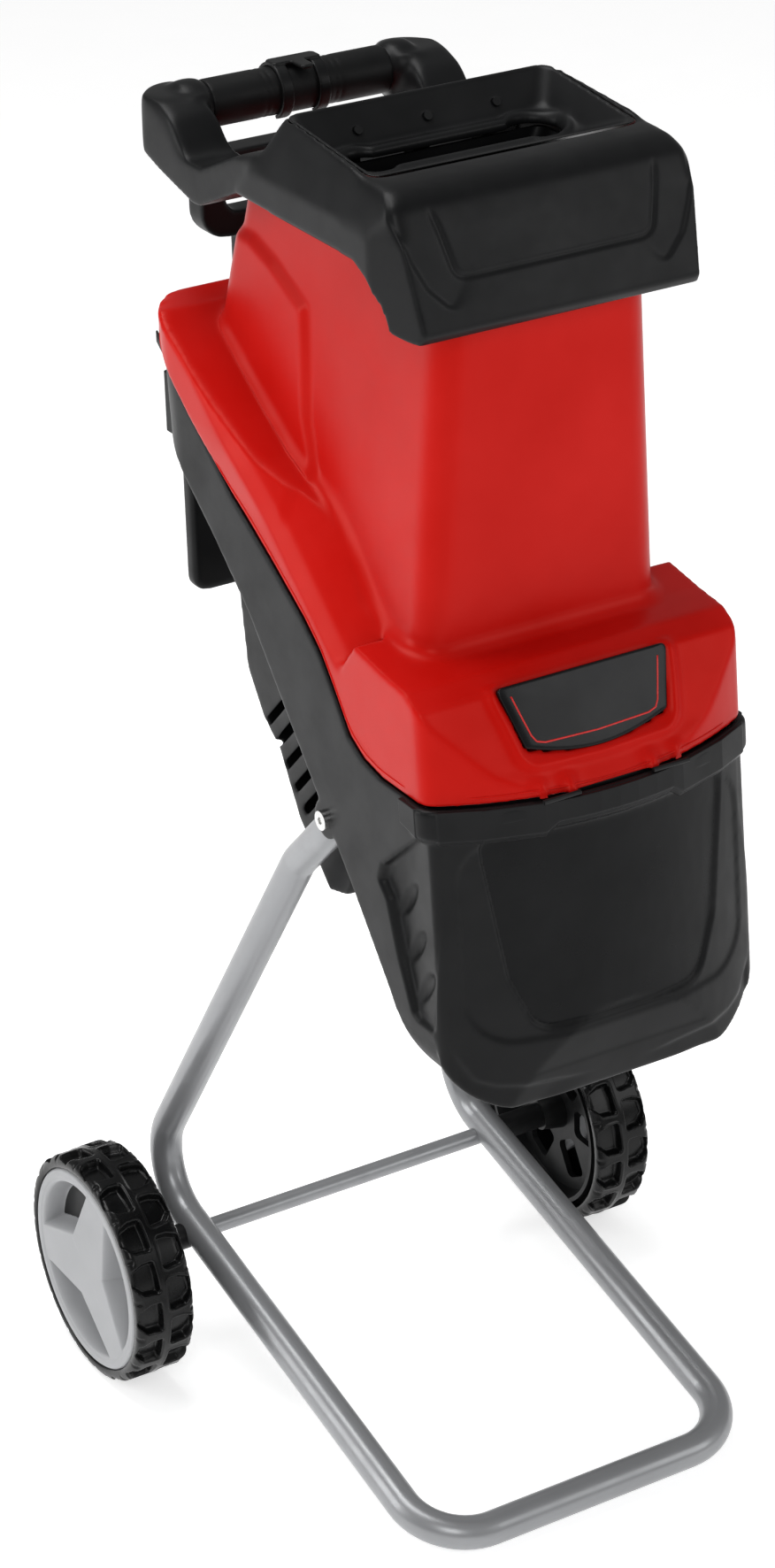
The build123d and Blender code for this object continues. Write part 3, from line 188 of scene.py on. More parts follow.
class Skin:
    """A CAD node's solid meshed afresh in even quads, so that edges soften and detail can be raised on it."""

    def __init__(self, node, voxel):
        mesh = frame["nodes"][node].data.copy()
        bm = bmesh.new()
        bm.from_mesh(mesh)
        bmesh.ops.remove_doubles(bm, verts=bm.verts, dist=0.00002)
        bm.to_mesh(mesh)
        bm.free()
        self.node = node
        self.body = frame["nodes"][node]["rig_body"]
        source = bpy.data.objects.new("source", mesh)
        bpy.context.scene.collection.objects.link(source)
        even = source.modifiers.new("even", "REMESH")
        even.mode = "VOXEL"
        even.voxel_size = voxel * MM
        ready = source.evaluated_get(bpy.context.evaluated_depsgraph_get())
        self.mesh = bpy.data.meshes.new_from_object(ready)
        bpy.data.objects.remove(source)
        n = len(self.mesh.vertices)
        flat = np.zeros(n * 3, np.float32)
        self.mesh.vertices.foreach_get("co", flat)
        self.co = flat.reshape(-1, 3).astype(float) / MM
        pairs = np.zeros(len(self.mesh.edges) * 2, np.int32)
        self.mesh.edges.foreach_get("vertices", pairs)
        self.a, self.b = pairs.reshape(-1, 2).T
        self.count = np.bincount(self.a, minlength=n) + np.bincount(self.b, minlength=n)
        loops = np.zeros(len(self.mesh.loops), np.int32)
        self.mesh.loops.foreach_get("vertex_index", loops)
        self.quads = loops.reshape(-1, 4)

    def around(self, values):
        """Mean of each vertex's neighbours."""
        n = len(self.co)
        if values.ndim == 1:
            total = np.bincount(self.a, values[self.b], n) + np.bincount(self.b, values[self.a], n)
            return total / self.count
        return np.stack([self.around(values[:, k]) for k in range(values.shape[1])], 1)

    def smooth(self, rounds, where=None):
        """Moves points towards their neighbours' mean, everywhere or by a 0 to 1 mask."""
        weight = SMOOTHING if where is None else SMOOTHING * where[:, None]
        for _ in range(rounds):
            self.co += weight * (self.around(self.co) - self.co)

    def normals(self):
        """Unit normal at each vertex."""
        p = self.co[self.quads]
        face = np.cross(p[:, 2] - p[:, 0], p[:, 3] - p[:, 1])
        total = np.zeros_like(self.co)
        for k in range(4):
            for axis in range(3):
                total[:, axis] += np.bincount(self.quads[:, k], face[:, axis], len(self.co))
        return total / np.maximum(np.linalg.norm(total, axis=1, keepdims=True), 1e-9)

    def fill_corners(self, rounds, reach, where):
        """Softens only the hollow corners, as a large fillet does."""
        n = self.normals()
        bend = np.einsum("ij,ij->i", self.around(self.co) - self.co, n)
        for _ in range(4):
            bend = self.around(bend)
        mask = ease(bend - 0.035, 0.03) * where
        for _ in range(reach):
            mask = np.maximum(mask, self.around(mask))
        for _ in range(6):
            mask = self.around(mask)
        mask = np.clip(mask * 1.6, 0, 1)
        self.smooth(rounds, mask)

    def shift(self, amount, towards):
        """Moves the surface by mm in a direction, which takes a wall's back with its front."""
        self.co += towards * amount[:, None]

    def slant(self, axis):
        """How squarely the surface faces along an axis, from 0 to 1, the same on both sides of a wall."""
        return np.abs(self.normals()[:, axis])

    def done(self, name, slot):
        """Makes the piece, which rides the node's body and replaces the node."""
        self.mesh.vertices.foreach_set("co", (self.co * MM).astype(np.float32).ravel())
        self.mesh.polygons.foreach_set("use_smooth", [True] * len(self.mesh.polygons))
        self.mesh.update()
        self.mesh.materials.clear()
        self.mesh.materials.append(MATERIALS[slot])
        obj = bpy.data.objects.new(name, self.mesh)
        bpy.context.scene.collection.objects.link(obj)
        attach(obj, self.body)
        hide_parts(self.node)
        return obj


def tube_mesh(points, radius, sides=8):
    """Vertices and faces of a tube along points, in mm."""
    p = np.array(points, float)
    ahead = np.roll(p, -1, 0) - np.roll(p, 1, 0)
    ahead[0] = p[1] - p[0]
    ahead[-1] = p[-1] - p[-2]
    ahead = unit(ahead)
    side = unit(np.cross(ahead, [0.31, 0.17, 0.93]))
    up = np.cross(side, ahead)
    turn = np.linspace(0, 2 * math.pi, sides, endpoint=False)
    ring = np.cos(turn)[None, :, None] * side[:, None] + np.sin(turn)[None, :, None] * up[:, None]
    return (p[:, None] + ring * radius).reshape(-1, 3), loft_faces(len(p), sides)


# ---------------------------------------------------------------- materials
def nodes_of(name):
    """A new material with its node tree and its shader."""
    material = bpy.data.materials.new(name)
    material.use_nodes = True
    tree = material.node_tree
    tree.nodes.clear()
    out = tree.nodes.new("ShaderNodeOutputMaterial")
    shader = tree.nodes.new("ShaderNodeBsdfPrincipled")
    tree.links.new(shader.outputs[0], out.inputs[0])
    return material, tree, shader


def noise(tree, scale, detail=3.0, roughness=0.55, stretch=None):
    """Noise in the object's own space, drawn out along axes where stretch says so."""
    spot = tree.nodes.new("ShaderNodeTexCoord")
    node = tree.nodes.new("ShaderNodeTexNoise")
    node.inputs["Scale"].default_value = scale
    node.inputs["Detail"].default_value = detail
    node.inputs["Roughness"].default_value = roughness
    if stretch:
        mapping = tree.nodes.new("ShaderNodeMapping")
        mapping.inputs["Scale"].default_value = stretch
        tree.links.new(spot.outputs["Object"], mapping.inputs[0])
        tree.links.new(mapping.outputs[0], node.inputs["Vector"])
    else:
        tree.links.new(spot.outputs["Object"], node.inputs["Vector"])
    return node.outputs["Fac"]


def ramp(tree, value, low, high, start, end):
    """value from low to high becomes start to end."""
    node = tree.nodes.new("ShaderNodeMapRange")
    node.inputs["From Min"].default_value = low
    node.inputs["From Max"].default_value = high
    node.inputs["To Min"].default_value = start
    node.inputs["To Max"].default_value = end
    tree.links.new(value, node.inputs["Value"])
    return node.outputs[0]


def mix(tree, factor, first, second):
    """First where factor is 0, second where it is 1. Each is a colour or a socket."""
    node = tree.nodes.new("ShaderNodeMix")
    node.data_type = "RGBA"
    tree.links.new(factor, node.inputs[0])
    for socket, value in ((node.inputs[6], first), (node.inputs[7], second)):
        if isinstance(value, tuple):
            socket.default_value = (*value, 1)
        else:
            tree.links.new(value, socket)
    return node.outputs[2]


def finish_of(name, base, rough, spread=0.08, tone=0.12, grain=900, bump=0.12, bump_mm=0.04, wear=0.35,
              metallic=0.0, coat=0.0, specular=0.5, cloud=14, stretch=None, tint=(1, 1, 1)):
    """A moulded, painted or machined surface: cloudy tone, patchy gloss, fine grain, lighter worn edges."""
    material, tree, shader = nodes_of(name)
    dark = tuple(c * (1 - tone) for c in base)
    light = tuple(min(1, c * (1 + tone) + 0.004) for c in base)
    colour = mix(tree, ramp(tree, noise(tree, cloud), 0.3, 0.7, 0, 1), dark, light)
    if wear:
        geometry = tree.nodes.new("ShaderNodeNewGeometry")
        edge = ramp(tree, geometry.outputs["Pointiness"], 0.515, 0.57, 0, wear)
        worn = tuple(min(1, c * 1.5 + 0.05) for c in base)
        patchy = tree.nodes.new("ShaderNodeMath")
        patchy.operation = "MULTIPLY"
        tree.links.new(edge, patchy.inputs[0])
        tree.links.new(ramp(tree, noise(tree, 60), 0.35, 0.65, 0.2, 1), patchy.inputs[1])
        colour = mix(tree, patchy.outputs[0], colour, worn)
    tree.links.new(colour, shader.inputs["Base Color"])
    gloss = ramp(tree, noise(tree, 38, 5), 0.3, 0.7, rough - spread, rough + spread)
    tree.links.new(gloss, shader.inputs["Roughness"])
    shader.inputs["Metallic"].default_value = metallic
    shader.inputs["Coat Weight"].default_value = coat
    shader.inputs["Coat Roughness"].default_value = 0.12
    shader.inputs["Specular IOR Level"].default_value = specular
    shader.inputs["Specular Tint"].default_value = (*tint, 1)
    relief = tree.nodes.new("ShaderNodeBump")
    relief.inputs["Strength"].default_value = bump
    relief.inputs["Distance"].default_value = bump_mm * MM
    tree.links.new(noise(tree, grain, 2, 0.6, stretch), relief.inputs["Height"])
    tree.links.new(relief.outputs[0], shader.inputs["Normal"])
    return material


LOOKS = {
    "red_plastic": dict(base=(0.50, 0.0040, 0.0018), rough=0.33, spread=0.04, tone=0.05, grain=700,
                        bump=0.08, bump_mm=0.05, wear=0.04, specular=0.24, tint=(1.0, 0.30, 0.24)),
    "black_plastic": dict(base=(0.0028, 0.0030, 0.0034), rough=0.40, spread=0.06, tone=0.16, grain=1300,
                          bump=0.35, bump_mm=0.06, wear=0.08, specular=0.17),
    "panel_black": dict(base=(0.0016, 0.0018, 0.0022), rough=0.30, spread=0.05, tone=0.12, grain=1300,
                        bump=0.15, bump_mm=0.04, wear=0.04, specular=0.13),
    "badge_black": dict(base=(0.0028, 0.0030, 0.0036), rough=0.24, spread=0.04, tone=0.1, grain=500,
                        bump=0.05, bump_mm=0.03, wear=0.05, specular=0.2),
    "badge_red": dict(base=(0.6, 0.008, 0.006), rough=0.3, spread=0.04, tone=0.08, grain=700, bump=0.05,
                      wear=0.1),
    "grip_black": dict(base=(0.0026, 0.0028, 0.0030), rough=0.50, spread=0.06, tone=0.12, grain=1500,
                       bump=0.3, wear=0.08, specular=0.16),
    "tube_paint": dict(base=(0.29, 0.295, 0.305), rough=0.34, spread=0.05, tone=0.04, grain=900, bump=0.18,
                       bump_mm=0.05, wear=0.15, metallic=0.45, coat=0.1),
    "bright_steel": dict(base=(0.62, 0.62, 0.61), rough=0.26, spread=0.08, tone=0.08, grain=300, bump=0.15,
                         wear=0.2, metallic=1.0, stretch=(1, 1, 6)),
    "tool_steel": dict(base=(0.5, 0.5, 0.51), rough=0.3, spread=0.08, tone=0.1, grain=500, bump=0.2,
                       wear=0.3, metallic=1.0, stretch=(8, 1, 1)),
    "cast_alloy": dict(base=(0.6, 0.6, 0.61), rough=0.45, spread=0.08, tone=0.1, grain=350, bump=0.4,
                       bump_mm=0.1, wear=0.3, metallic=0.9),
    "motor_iron": dict(base=(0.22, 0.22, 0.23), rough=0.4, spread=0.08, tone=0.15, grain=900, bump=0.3,
                       wear=0.3, metallic=0.8, stretch=(1, 1, 10)),
    "copper": dict(base=(0.72, 0.36, 0.18), rough=0.3, spread=0.06, tone=0.12, grain=600, bump=0.2,
                   wear=0.3, metallic=1.0),
    "carbon": dict(base=(0.02, 0.02, 0.021), rough=0.6, spread=0.08, tone=0.2, grain=900, bump=0.4,
                   wear=0.2),
    "black_rubber": dict(base=(0.005, 0.005, 0.005), rough=0.68, spread=0.08, tone=0.15, grain=700,
                         bump=0.4, wear=0.15, specular=0.22),
    "black_nylon": dict(base=(0.0028, 0.0030, 0.0033), rough=0.40, spread=0.06, tone=0.14, grain=1000,
                        bump=0.25, wear=0.12, specular=0.17),
    "tyre": dict(base=(0.0016, 0.0017, 0.0019), rough=0.26, spread=0.07, tone=0.15, grain=900, bump=0.3,
                 bump_mm=0.06, wear=0.10, specular=0.22),
    "cap_grey": dict(base=(0.33, 0.335, 0.345), rough=0.42, spread=0.05, tone=0.04, grain=1100, bump=0.15,
                     wear=0.12, specular=0.35),
    "button_green": dict(base=(0.02, 0.3, 0.07), rough=0.3, spread=0.04, tone=0.08, bump=0.1, wear=0.2),
    "button_red": dict(base=(0.5, 0.02, 0.02), rough=0.3, spread=0.04, tone=0.08, bump=0.1, wear=0.2),
    "button_yellow": dict(base=(0.72, 0.48, 0.03), rough=0.3, spread=0.04, tone=0.08, bump=0.1, wear=0.2),
}
MATERIALS = {name: finish_of(name, **look) for name, look in LOOKS.items()}


# ---------------------------------------------------------------- shells
def front_face(x, z):
    """Y of the lower housing's front face."""
    bow = FRONT_ARC_R - np.sqrt(FRONT_ARC_R ** 2 - np.minimum(np.abs(x), HALF_WIDTH) ** 2)
    return FRONT_Y + (z - FRONT_Z) * FRONT_LEAN + bow


def seam_path(inset, rise):
    """Points round the seam between the housings, this far inside the outer skin and above the seam."""
    rear_y = 150.0
    half = HALF_WIDTH - inset
    x = np.linspace(-half, half, 41)
    front = np.stack([x, front_face(x, FRONT_SEAM_Z) + inset], 1)
    plan = np.concatenate([[(-half, rear_y)], front, [(half, rear_y)]])
    along = np.concatenate([[0], np.cumsum(np.linalg.norm(np.diff(plan, axis=0), axis=1))])
    even = np.linspace(0, along[-1], 420)
    path = np.stack([np.interp(even, along, plan[:, k]) for k in range(2)], 1)
    for _ in range(110):
        path[1:-1] = (path[:-2] + path[2:]) / 2
    line = np.array(SEAM[::-1], float)
    return np.stack([path[:, 0], path[:, 1], np.interp(path[:, 1], line[:, 0], line[:, 1]) + rise], 1)


def snapped(path, skin, sink):
    """A path laid on a shell's surface, sunk by a little."""
    tree = kdtree.KDTree(len(skin.co))
    normals = skin.normals()
    for index, point in enumerate(skin.co):
        tree.insert(point, index)
    tree.balance()
    out = []
    for point in path:
        index = tree.find(point)[1]
        n = normals[index]
        out.append(point + n * ((skin.co[index] - point) @ n - sink))
    out = np.array(out)
    for _ in range(8):
        out[1:-1] = (out[:-2] + 2 * out[1:-1] + out[2:]) / 4
    return out


def near_hinge(skin, above, below, behind):
    """Points round the hinge's knuckles, between two heights and in front of a y."""
    x, y, z = skin.co.T
    return (np.abs(np.abs(x) - HINGE_X) < 15) & (z > above) & (z < below) & (y < behind)


def upper_housing():
    """Red shell: soft hollow corners, a flank pad each side, and a raised lip round the badge."""
    skin = Skin("upper_housing", SHELL_VOXEL)
    x, y, z = skin.co.T         # views, so they follow every move
    skin.smooth(5)
    skin.fill_corners(150, 8, ease(z - 560, 20))
    pad = rounded([(200, 802.5), (77.5, 802.5), (51.3, 794.5), (10.5, 776.2), (7.2, 746.9), (4.5, 708.6),
                   (-8.8, 670.7), (-14, 640), (200, 640)], 6)
    d = inside(np.stack([y, z], 1), pad)
    fade = ease(z - 668, 50) * ease(np.abs(x) - 50, 16)
    rise = 4.2 * ease(d - 4, 8) * ease(skin.slant(0) - 0.45, 0.25) * fade
    skin.shift(rise, np.sign(x)[:, None] * OUTWARD)
    # the hinge's knuckles lie inside the skin, so that the seam runs clean
    edge_z = FRONT_SEAM_Z + 0.7
    near = near_hinge(skin, 0, 545, -185)
    z[near] = np.maximum(z[near], edge_z)
    y[near] = np.maximum(y[near], front_face(x[near], z[near]))
    about = ease(20 - np.abs(np.abs(x) - HINGE_X), 8) * ease(548 - z, 8) * ease(-190 - y, 6)
    skin.smooth(40, about * ease(z - 535, 2))
    # soft raised lip round the badge
    flat = skin.co - BADGE_ORIGIN
    u, v, w = flat[:, 0], flat @ BADGE_UP, flat @ BADGE_OUT
    shield = rounded([(-59.5, 24), (-49, -23), (0, -24.5), (49, -23), (59.5, 24)], 9)
    d = inside(np.stack([u, v], 1), shield)
    near = ease(w + 12, 6) * (v > -34) * (v < 24)
    skin.shift(2.2 * np.exp(-((d + 4.2) / 3.4) ** 2) * near, BADGE_OUT)
    skin.smooth(5)
    skin.done("upper_shell", "red_plastic")
    bead = snapped(seam_path(0, 5.5), skin, 0.15)
    mesh_object("skirt_bead", *tube_mesh(bead, 0.75), "upper_unit", "red_plastic")


def finger_grooves(y, z):
    """Depth of the grip recess in a flank, with its three slanted notches."""
    outline = rounded([(-164, 508.5), (-124.7, 475), (-121, 464), (-130, 455), (-141.5, 422), (-156, 391),
                       (-162, 388), (-179, 388), (-184, 512)], 3)
    deep = 0.6 + 3.6 * np.clip((y + 183) / 40, 0, 1)
    depth = deep * ease(inside(np.stack([y, z], 1), outline) + 0.6, 1.8)
    for middle_y, middle_z in ((-146, 461), (-156, 434), (-167, 411)):
        u = ((y - middle_y) * -0.61 + (z - middle_z) * 0.79) / 15.0
        v = ((y - middle_y) * 0.79 + (z - middle_z) * 0.61) / 4.4
        depth += 2.2 * ease(1 - np.sqrt(u * u + v * v), 0.8)
    return depth


def lower_housing():
    """Black shell: sunk glossy front panel, lip below it, and a finger recess in each flank."""
    skin = Skin("lower_housing", SHELL_VOXEL)
    x, y, z = skin.co.T         # views, so they follow every move
    skin.smooth(4)
    front = (1 - ease(y - front_face(x, z) - 9, 6)) * ease(HALF_WIDTH - 8 - np.abs(x), 6)
    panel = rounded([(-87, 520), (-73, 421), (-58, 385), (58, 385), (73, 421), (87, 520)], 20)
    lip = rounded([(-140, 560), (-122, 400), (-97, 356), (-84, 351), (0, 341), (84, 351), (97, 356),
                   (122, 400), (140, 560)], 12)
    p = np.stack([x, z], 1)
    sunk = 2.8 * ease(inside(p, panel), 3) + 1.8 * (1 - ease(inside(p, lip) - 2, 3))
    skin.shift(-sunk * front, FORWARD)
    side = ease(np.abs(x) - 103, 5)
    skin.shift(-finger_grooves(y, z) * side, np.sign(x)[:, None] * OUTWARD)
    # the hinge's lower knuckles lie inside the skin too
    near = near_hinge(skin, 526, 1000, -190)
    z[near] = np.minimum(z[near], FRONT_SEAM_Z - 0.8)
    y[near] = np.maximum(y[near], front_face(x[near], z[near]) - 2.4)
    skin.smooth(2)
    glossy = (inside(np.stack([x, z], 1), panel) > 1.2) & (y - front_face(x, z) < 12)
    shell = skin.done("lower_shell", "black_plastic")
    shell.data.materials.append(MATERIALS["panel_black"])
    shell.data.polygons.foreach_set("material_index", glossy[skin.quads].all(1).astype(np.int32))


def seam_tongue():
    """Upstanding tongue that closes the seam from inside."""
    rail = seam_path(4.4, 0.0)
    rail = rail[rail[:, 1] < 140]
    section = [(-0.7, -5.0), (0.7, -5.0), (0.7, 1.6), (0.0, 2.2), (-0.7, 1.6)]
    co = [(x + nx * s, y + ny * s, z + t)
          for (x, y, z), (nx, ny) in zip(rail, sideways(rail)) for s, t in section]
    mesh_object("seam_tongue", co, loft_faces(len(rail), len(section)), "base", "black_plastic")


def front_strip():
    """The facetted collar under the seam: deeper at its two ends, with a chamfer along its foot."""
    middle_z = 522.0
    top = FRONT_SEAM_Z - 0.7
    proud = 3.2
    right = [(0, 514), (13, 514), (27, 514), (40, 514), (48, 508.5), (84, 508.5), (107, 508.5)]
    rail = [(x, front_face(x, middle_z) - proud, foot) for x, foot in right]
    corner_x = HALF_WIDTH + 2.8
    rail += [(corner_x, front_face(HALF_WIDTH, middle_z) + 6.0, 509), (corner_x, -150.0, 512)]
    rail = np.array([(-x, y, foot) for x, y, foot in rail[:0:-1]] + rail, float)
    co = []
    for (x, y, foot), (nx, ny) in zip(rail, -sideways(rail)):
        for depth, z in ((0.0, top), (0.0, foot + 4.5), (3.6, foot), (5.4, foot), (5.4, top)):
            co.append((x + nx * depth, y + ny * depth + (z - middle_z) * FRONT_LEAN, z))
    strip = mesh_object("front_strip", co, loft_faces(len(rail), 5), "base", "black_plastic")
    crisp(strip, 0.5)


def crisp(obj, width):
    """Small bevels on a facetted piece's sharp edges, with its faces left flat."""
    bm = bmesh.new()
    bm.from_mesh(obj.data)
    bmesh.ops.recalc_face_normals(bm, faces=bm.faces)
    sharp = [e for e in bm.edges if len(e.link_faces) == 2 and e.calc_face_angle() > 0.12]
    bmesh.ops.bevel(bm, geom=sharp, offset=width * MM, segments=2, profile=0.5, affect="EDGES")
    bm.to_mesh(obj.data)
    bm.free()
    obj.data.polygons.foreach_set("use_smooth", [False] * len(obj.data.polygons))


def hopper():
    """Black hood: rolled front, rounded corners, arms that rise to the grip, and a creased front panel."""
    skin = Skin("hopper", SHELL_VOXEL)
    x, y, z = skin.co.T         # views, so they follow every move
    skin.smooth(4)
    roll = ease(z - 862, 14) * (1 - ease(y + 88, 16))
    arms = ease(y - 10, 30) * ease(z - 846, 10)
    skin.smooth(70, roll)
    skin.smooth(16, arms)
    # the arms rise to the grip's height at their outer corners
    arm_top = 873
    lift = 11 * ease(y - 112, 26) * ease(np.abs(x) - 66, 12) * ease(z - 848, 8)
    z[:] = np.where(z < arm_top, np.maximum(z, np.minimum(z + lift, arm_top)), z)
    # rounded lower corners
    corner_r = 16
    centre_x = HOOD_HALF - corner_r
    centre_z = HOOD_FOOT_Z + corner_r
    dx = np.abs(x) - centre_x
    dz = centre_z - z
    reach = np.hypot(dx, dz)
    corner = (dx > 0) & (dz > 0) & (reach > corner_r) & (y < -60)
    pull = corner_r / np.maximum(reach, 1)
    x[:] = np.where(corner, np.sign(x) * (centre_x + dx * pull), x)
    z[:] = np.where(corner, centre_z - dz * pull, z)
    # soft shoulder behind the tray, and soft ends where the grip's seats meet the arms
    skin.smooth(45, ease(z - 868, 12) * ease(y + 6, 10))
    ends = ease(y - 106, 16) * ease(z - 836, 10)
    skin.fill_corners(260, 14, ends)
    skin.smooth(26, ends)
    # the front stands back outside a crease that runs down both corners and along the foot
    front = (1 - ease(y + 104, 8)) * ease(skin.slant(1) + 0.35 * skin.slant(2) - 0.45, 0.3)
    crease = rounded([(-112, 902), (-104.7, 884), (-93.5, 849), (-86, 833), (-72, 819), (72, 819), (86, 833),
                      (93.5, 849), (104.7, 884), (112, 902)], 14)
    soft = 2.4 + 24 * ease(62 - np.abs(x), 24)
    skin.shift(-1.5 * ease(inside(np.stack([x, z], 1), crease) - soft / 2, soft) * front, FORWARD)
    # fine groove round the front panel
    panel = rounded([(-82, 905), (-65, 836), (65, 836), (82, 905)], 9)
    d = inside(np.stack([x, z], 1), panel)
    skin.shift(-1.4 * np.exp(-(d / 1.5) ** 2) * front * (1 - ease(z - 872, 12)), FORWARD)
    skin.smooth(1)
    skin.done("hopper_shell", "black_plastic")


def funnel():
    """The sunk tray: soft bowl with a raised lip round its dog-bone slot."""
    skin = Skin("funnel_tray", 1.1)
    x, y, z = skin.co.T         # views, so they follow every move
    skin.smooth(3)
    skin.fill_corners(120, 9, ease(891 - z, 6))
    end_x = 56
    ends = np.hypot(np.abs(x) - end_x, y - SLOT_Y) - 16.5
    waist = np.maximum(np.abs(x) - end_x, np.abs(y - SLOT_Y) - 13)
    d = np.minimum(ends, waist)
    skin.shift(2.4 * np.exp(-((d - 3.0) / 3.2) ** 2) * ease(z - 870.5, 3), UPWARD)
    skin.smooth(3)
    skin.done("funnel_bowl", "black_plastic")


def plain_skin(node, name, slot, voxel, rounds):
    """A node whose edges are softened and nothing else."""
    skin = Skin(node, voxel)
    skin.smooth(rounds)
    skin.done(name, slot)


# ---------------------------------------------------------------- wheels
def tyre_profile(inner, outer):
    """Radius and distance across of a tyre's closed section, with the tread in fine steps."""
    corner = 5.0
    quarter = [math.pi / 2 * k / 8 for k in range(9)]
    steps = 44
    tread = outer - inner - 2 * corner
    r = TYRE_R - corner
    profile = [(r + corner * math.sin(t), inner + corner - corner * math.cos(t)) for t in quarter]
    profile += [(TYRE_R, inner + corner + tread * k / steps) for k in range(1, steps)]
    profile += [(r + corner * math.cos(t), outer - corner + corner * math.sin(t)) for t in quarter]
    bore = TYRE_BORE_R
    profile += [(bore + 1.0, outer), (bore, outer - 1.0), (bore, inner + 1.0), (bore + 1.0, inner)]
    return np.array(profile)


def tyre(node, name, sign):
    """A hard tyre with two staggered rows of moulded pockets."""
    low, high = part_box(node)
    inner, outer = sorted((abs(low.x) / MM, abs(high.x) / MM))
    width = outer - inner
    middle = (inner + outer) / 2
    profile = tyre_profile(inner, outer)
    turns = 680
    angle = np.linspace(0, 2 * math.pi, turns, endpoint=False)
    r = np.repeat(profile[None, :, 0], turns, 0)
    across = np.repeat(profile[None, :, 1], turns, 0)
    around = np.repeat(angle[:, None], len(profile), 1)
    depth = np.zeros_like(r)
    pitch = 2 * math.pi / POCKETS
    pocket = rounded([(-11.6, -7.6), (11.8, -8.2), (10.4, 4.2), (3.4, 10.6), (-8.2, 9.2), (-11.4, 1.0)], 3.2)
    for stagger, half in ((0, 1), (pitch / 2, -1)):
        phase = (around + stagger) % pitch - pitch / 2
        beside = (across - middle) * half
        flat = np.stack([phase.ravel() * TYRE_R, (beside - width * 0.25).ravel()], 1)
        d = inside(flat, pocket).reshape(r.shape)
        depth = np.maximum(depth, POCKET_DEPTH * ease(d - 0.8, 2.4))
        depth = depth - POCKET_RIM * np.exp(-((d + 0.7) / 0.7) ** 2)
        # a shallow notch in the shoulder between pockets
        notch = np.abs(phase - pitch / 2 * np.sign(phase)) * TYRE_R - 1.4
        depth = np.where(beside > width * 0.42, depth + 0.9 * ease(-notch, 1.6), depth)
    r = r - (depth + POCKET_RIM) * ease(r - 75.0, 3)
    y = AXLE_YZ[0] + r * np.cos(around)
    z = AXLE_YZ[1] + r * np.sin(around)
    co = np.stack([sign * across, y, z], 2).reshape(-1, 3)
    m = len(profile)
    i, k = np.meshgrid(np.arange(turns), np.arange(m), indexing="ij")
    ahead = (i + 1) % turns
    beyond = (k + 1) % m
    faces = np.stack([i * m + k, i * m + beyond, ahead * m + beyond, ahead * m + k], 2).reshape(-1, 4)
    if sign < 0:
        faces = faces[:, ::-1]
    obj = mesh_object(name, co, faces, frame["nodes"][node]["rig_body"], "tyre")
    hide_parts(node)


def window_depth(u, v, r):
    """How far each point of the cap's face is inside one of its three windows, negative outside them."""
    deep = np.full_like(u, -99.0)
    for k in range(3):
        # each window widens from a blunt point near the hub, and its outer side follows the rim
        t = math.radians(10 + 120 * k)
        along = u * math.cos(t) + v * math.sin(t)
        beside = np.abs(-u * math.sin(t) + v * math.cos(t))
        deep = np.maximum(deep, np.minimum((along - 24.5 - 0.36 * beside) / 1.06, 62.5 - r))
    return deep


def hub_cap(node, name, sign):
    """Light grey cap with three broad spokes and three deep bevelled windows."""
    rings = 96
    turns = 540
    radius = np.concatenate([[0.05], np.linspace(0.8, CAP_R, rings)])
    angle = np.linspace(0, 2 * math.pi, turns, endpoint=False)
    r, a = np.meshgrid(radius, angle)
    u, v = r * np.cos(a), r * np.sin(a)
    step_in = WINDOW_DEPTH * ease(window_depth(u, v, r) - 3.2, 6.4)
    face = 0.6 * ease(r - 64.5, 1.2) - 0.6
    x = CAP_FACE_X + face - step_in - 1.4 * ease(r - (CAP_R - 0.8), 1.6)
    y = AXLE_YZ[0] + sign * u
    z = AXLE_YZ[1] + v
    front_co = np.stack([sign * x, y, z], 2).reshape(-1, 3)
    back_x = np.minimum(x - 1.8, CAP_FACE_X - 3.4)
    back_co = np.stack([sign * back_x, y, z], 2).reshape(-1, 3)
    m = len(radius)
    count = len(front_co)
    i, k = np.meshgrid(np.arange(turns), np.arange(m - 1), indexing="ij")
    ahead = (i + 1) % turns
    faces = np.stack([i * m + k, i * m + k + 1, ahead * m + k + 1, ahead * m + k], 2).reshape(-1, 4)
    edge = np.arange(turns) * m + m - 1
    next_edge = np.roll(edge, -1)
    wall = np.stack([edge, edge + count, next_edge + count, next_edge], 1)
    every = np.concatenate([faces, faces[:, ::-1] + count, wall])
    obj = mesh_object(name, np.concatenate([front_co, back_co]), every, frame["nodes"][node]["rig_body"],
                      "cap_grey", ["cap_grey", "black_nylon"])
    floors = (step_in.reshape(-1)[faces].min(1) > WINDOW_DEPTH - 0.9).astype(np.int32)
    dark = np.concatenate([floors, floors, np.zeros(len(wall), np.int32)])
    obj.data.polygons.foreach_set("material_index", dark)
    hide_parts(node)


# ---------------------------------------------------------------- badge
def badge_hull():
    """The CAD plate's outline in the badge's own plane, and how far its face stands out."""
    co = np.array([v.co for v in frame["nodes"]["badge_plate"].data.vertices]) / MM - BADGE_ORIGIN
    flat = np.stack([co[:, 0], co @ BADGE_UP], 1)
    hull = []
    for t in np.linspace(0, 2 * math.pi, 240, endpoint=False):
        corner = flat[np.argmax(flat @ np.array([math.cos(t), math.sin(t)]))]
        if not hull or min(np.linalg.norm(corner - hull[-1]), np.linalg.norm(corner - hull[0])) > 2.0:
            hull.append(corner)
    return np.array(hull), float((co @ BADGE_OUT).max())


def on_badge(u, v, height):
    """A point of the badge's plane, this high above it."""
    return BADGE_ORIGIN + np.array([u, 0, 0]) + BADGE_UP * v + BADGE_OUT * height


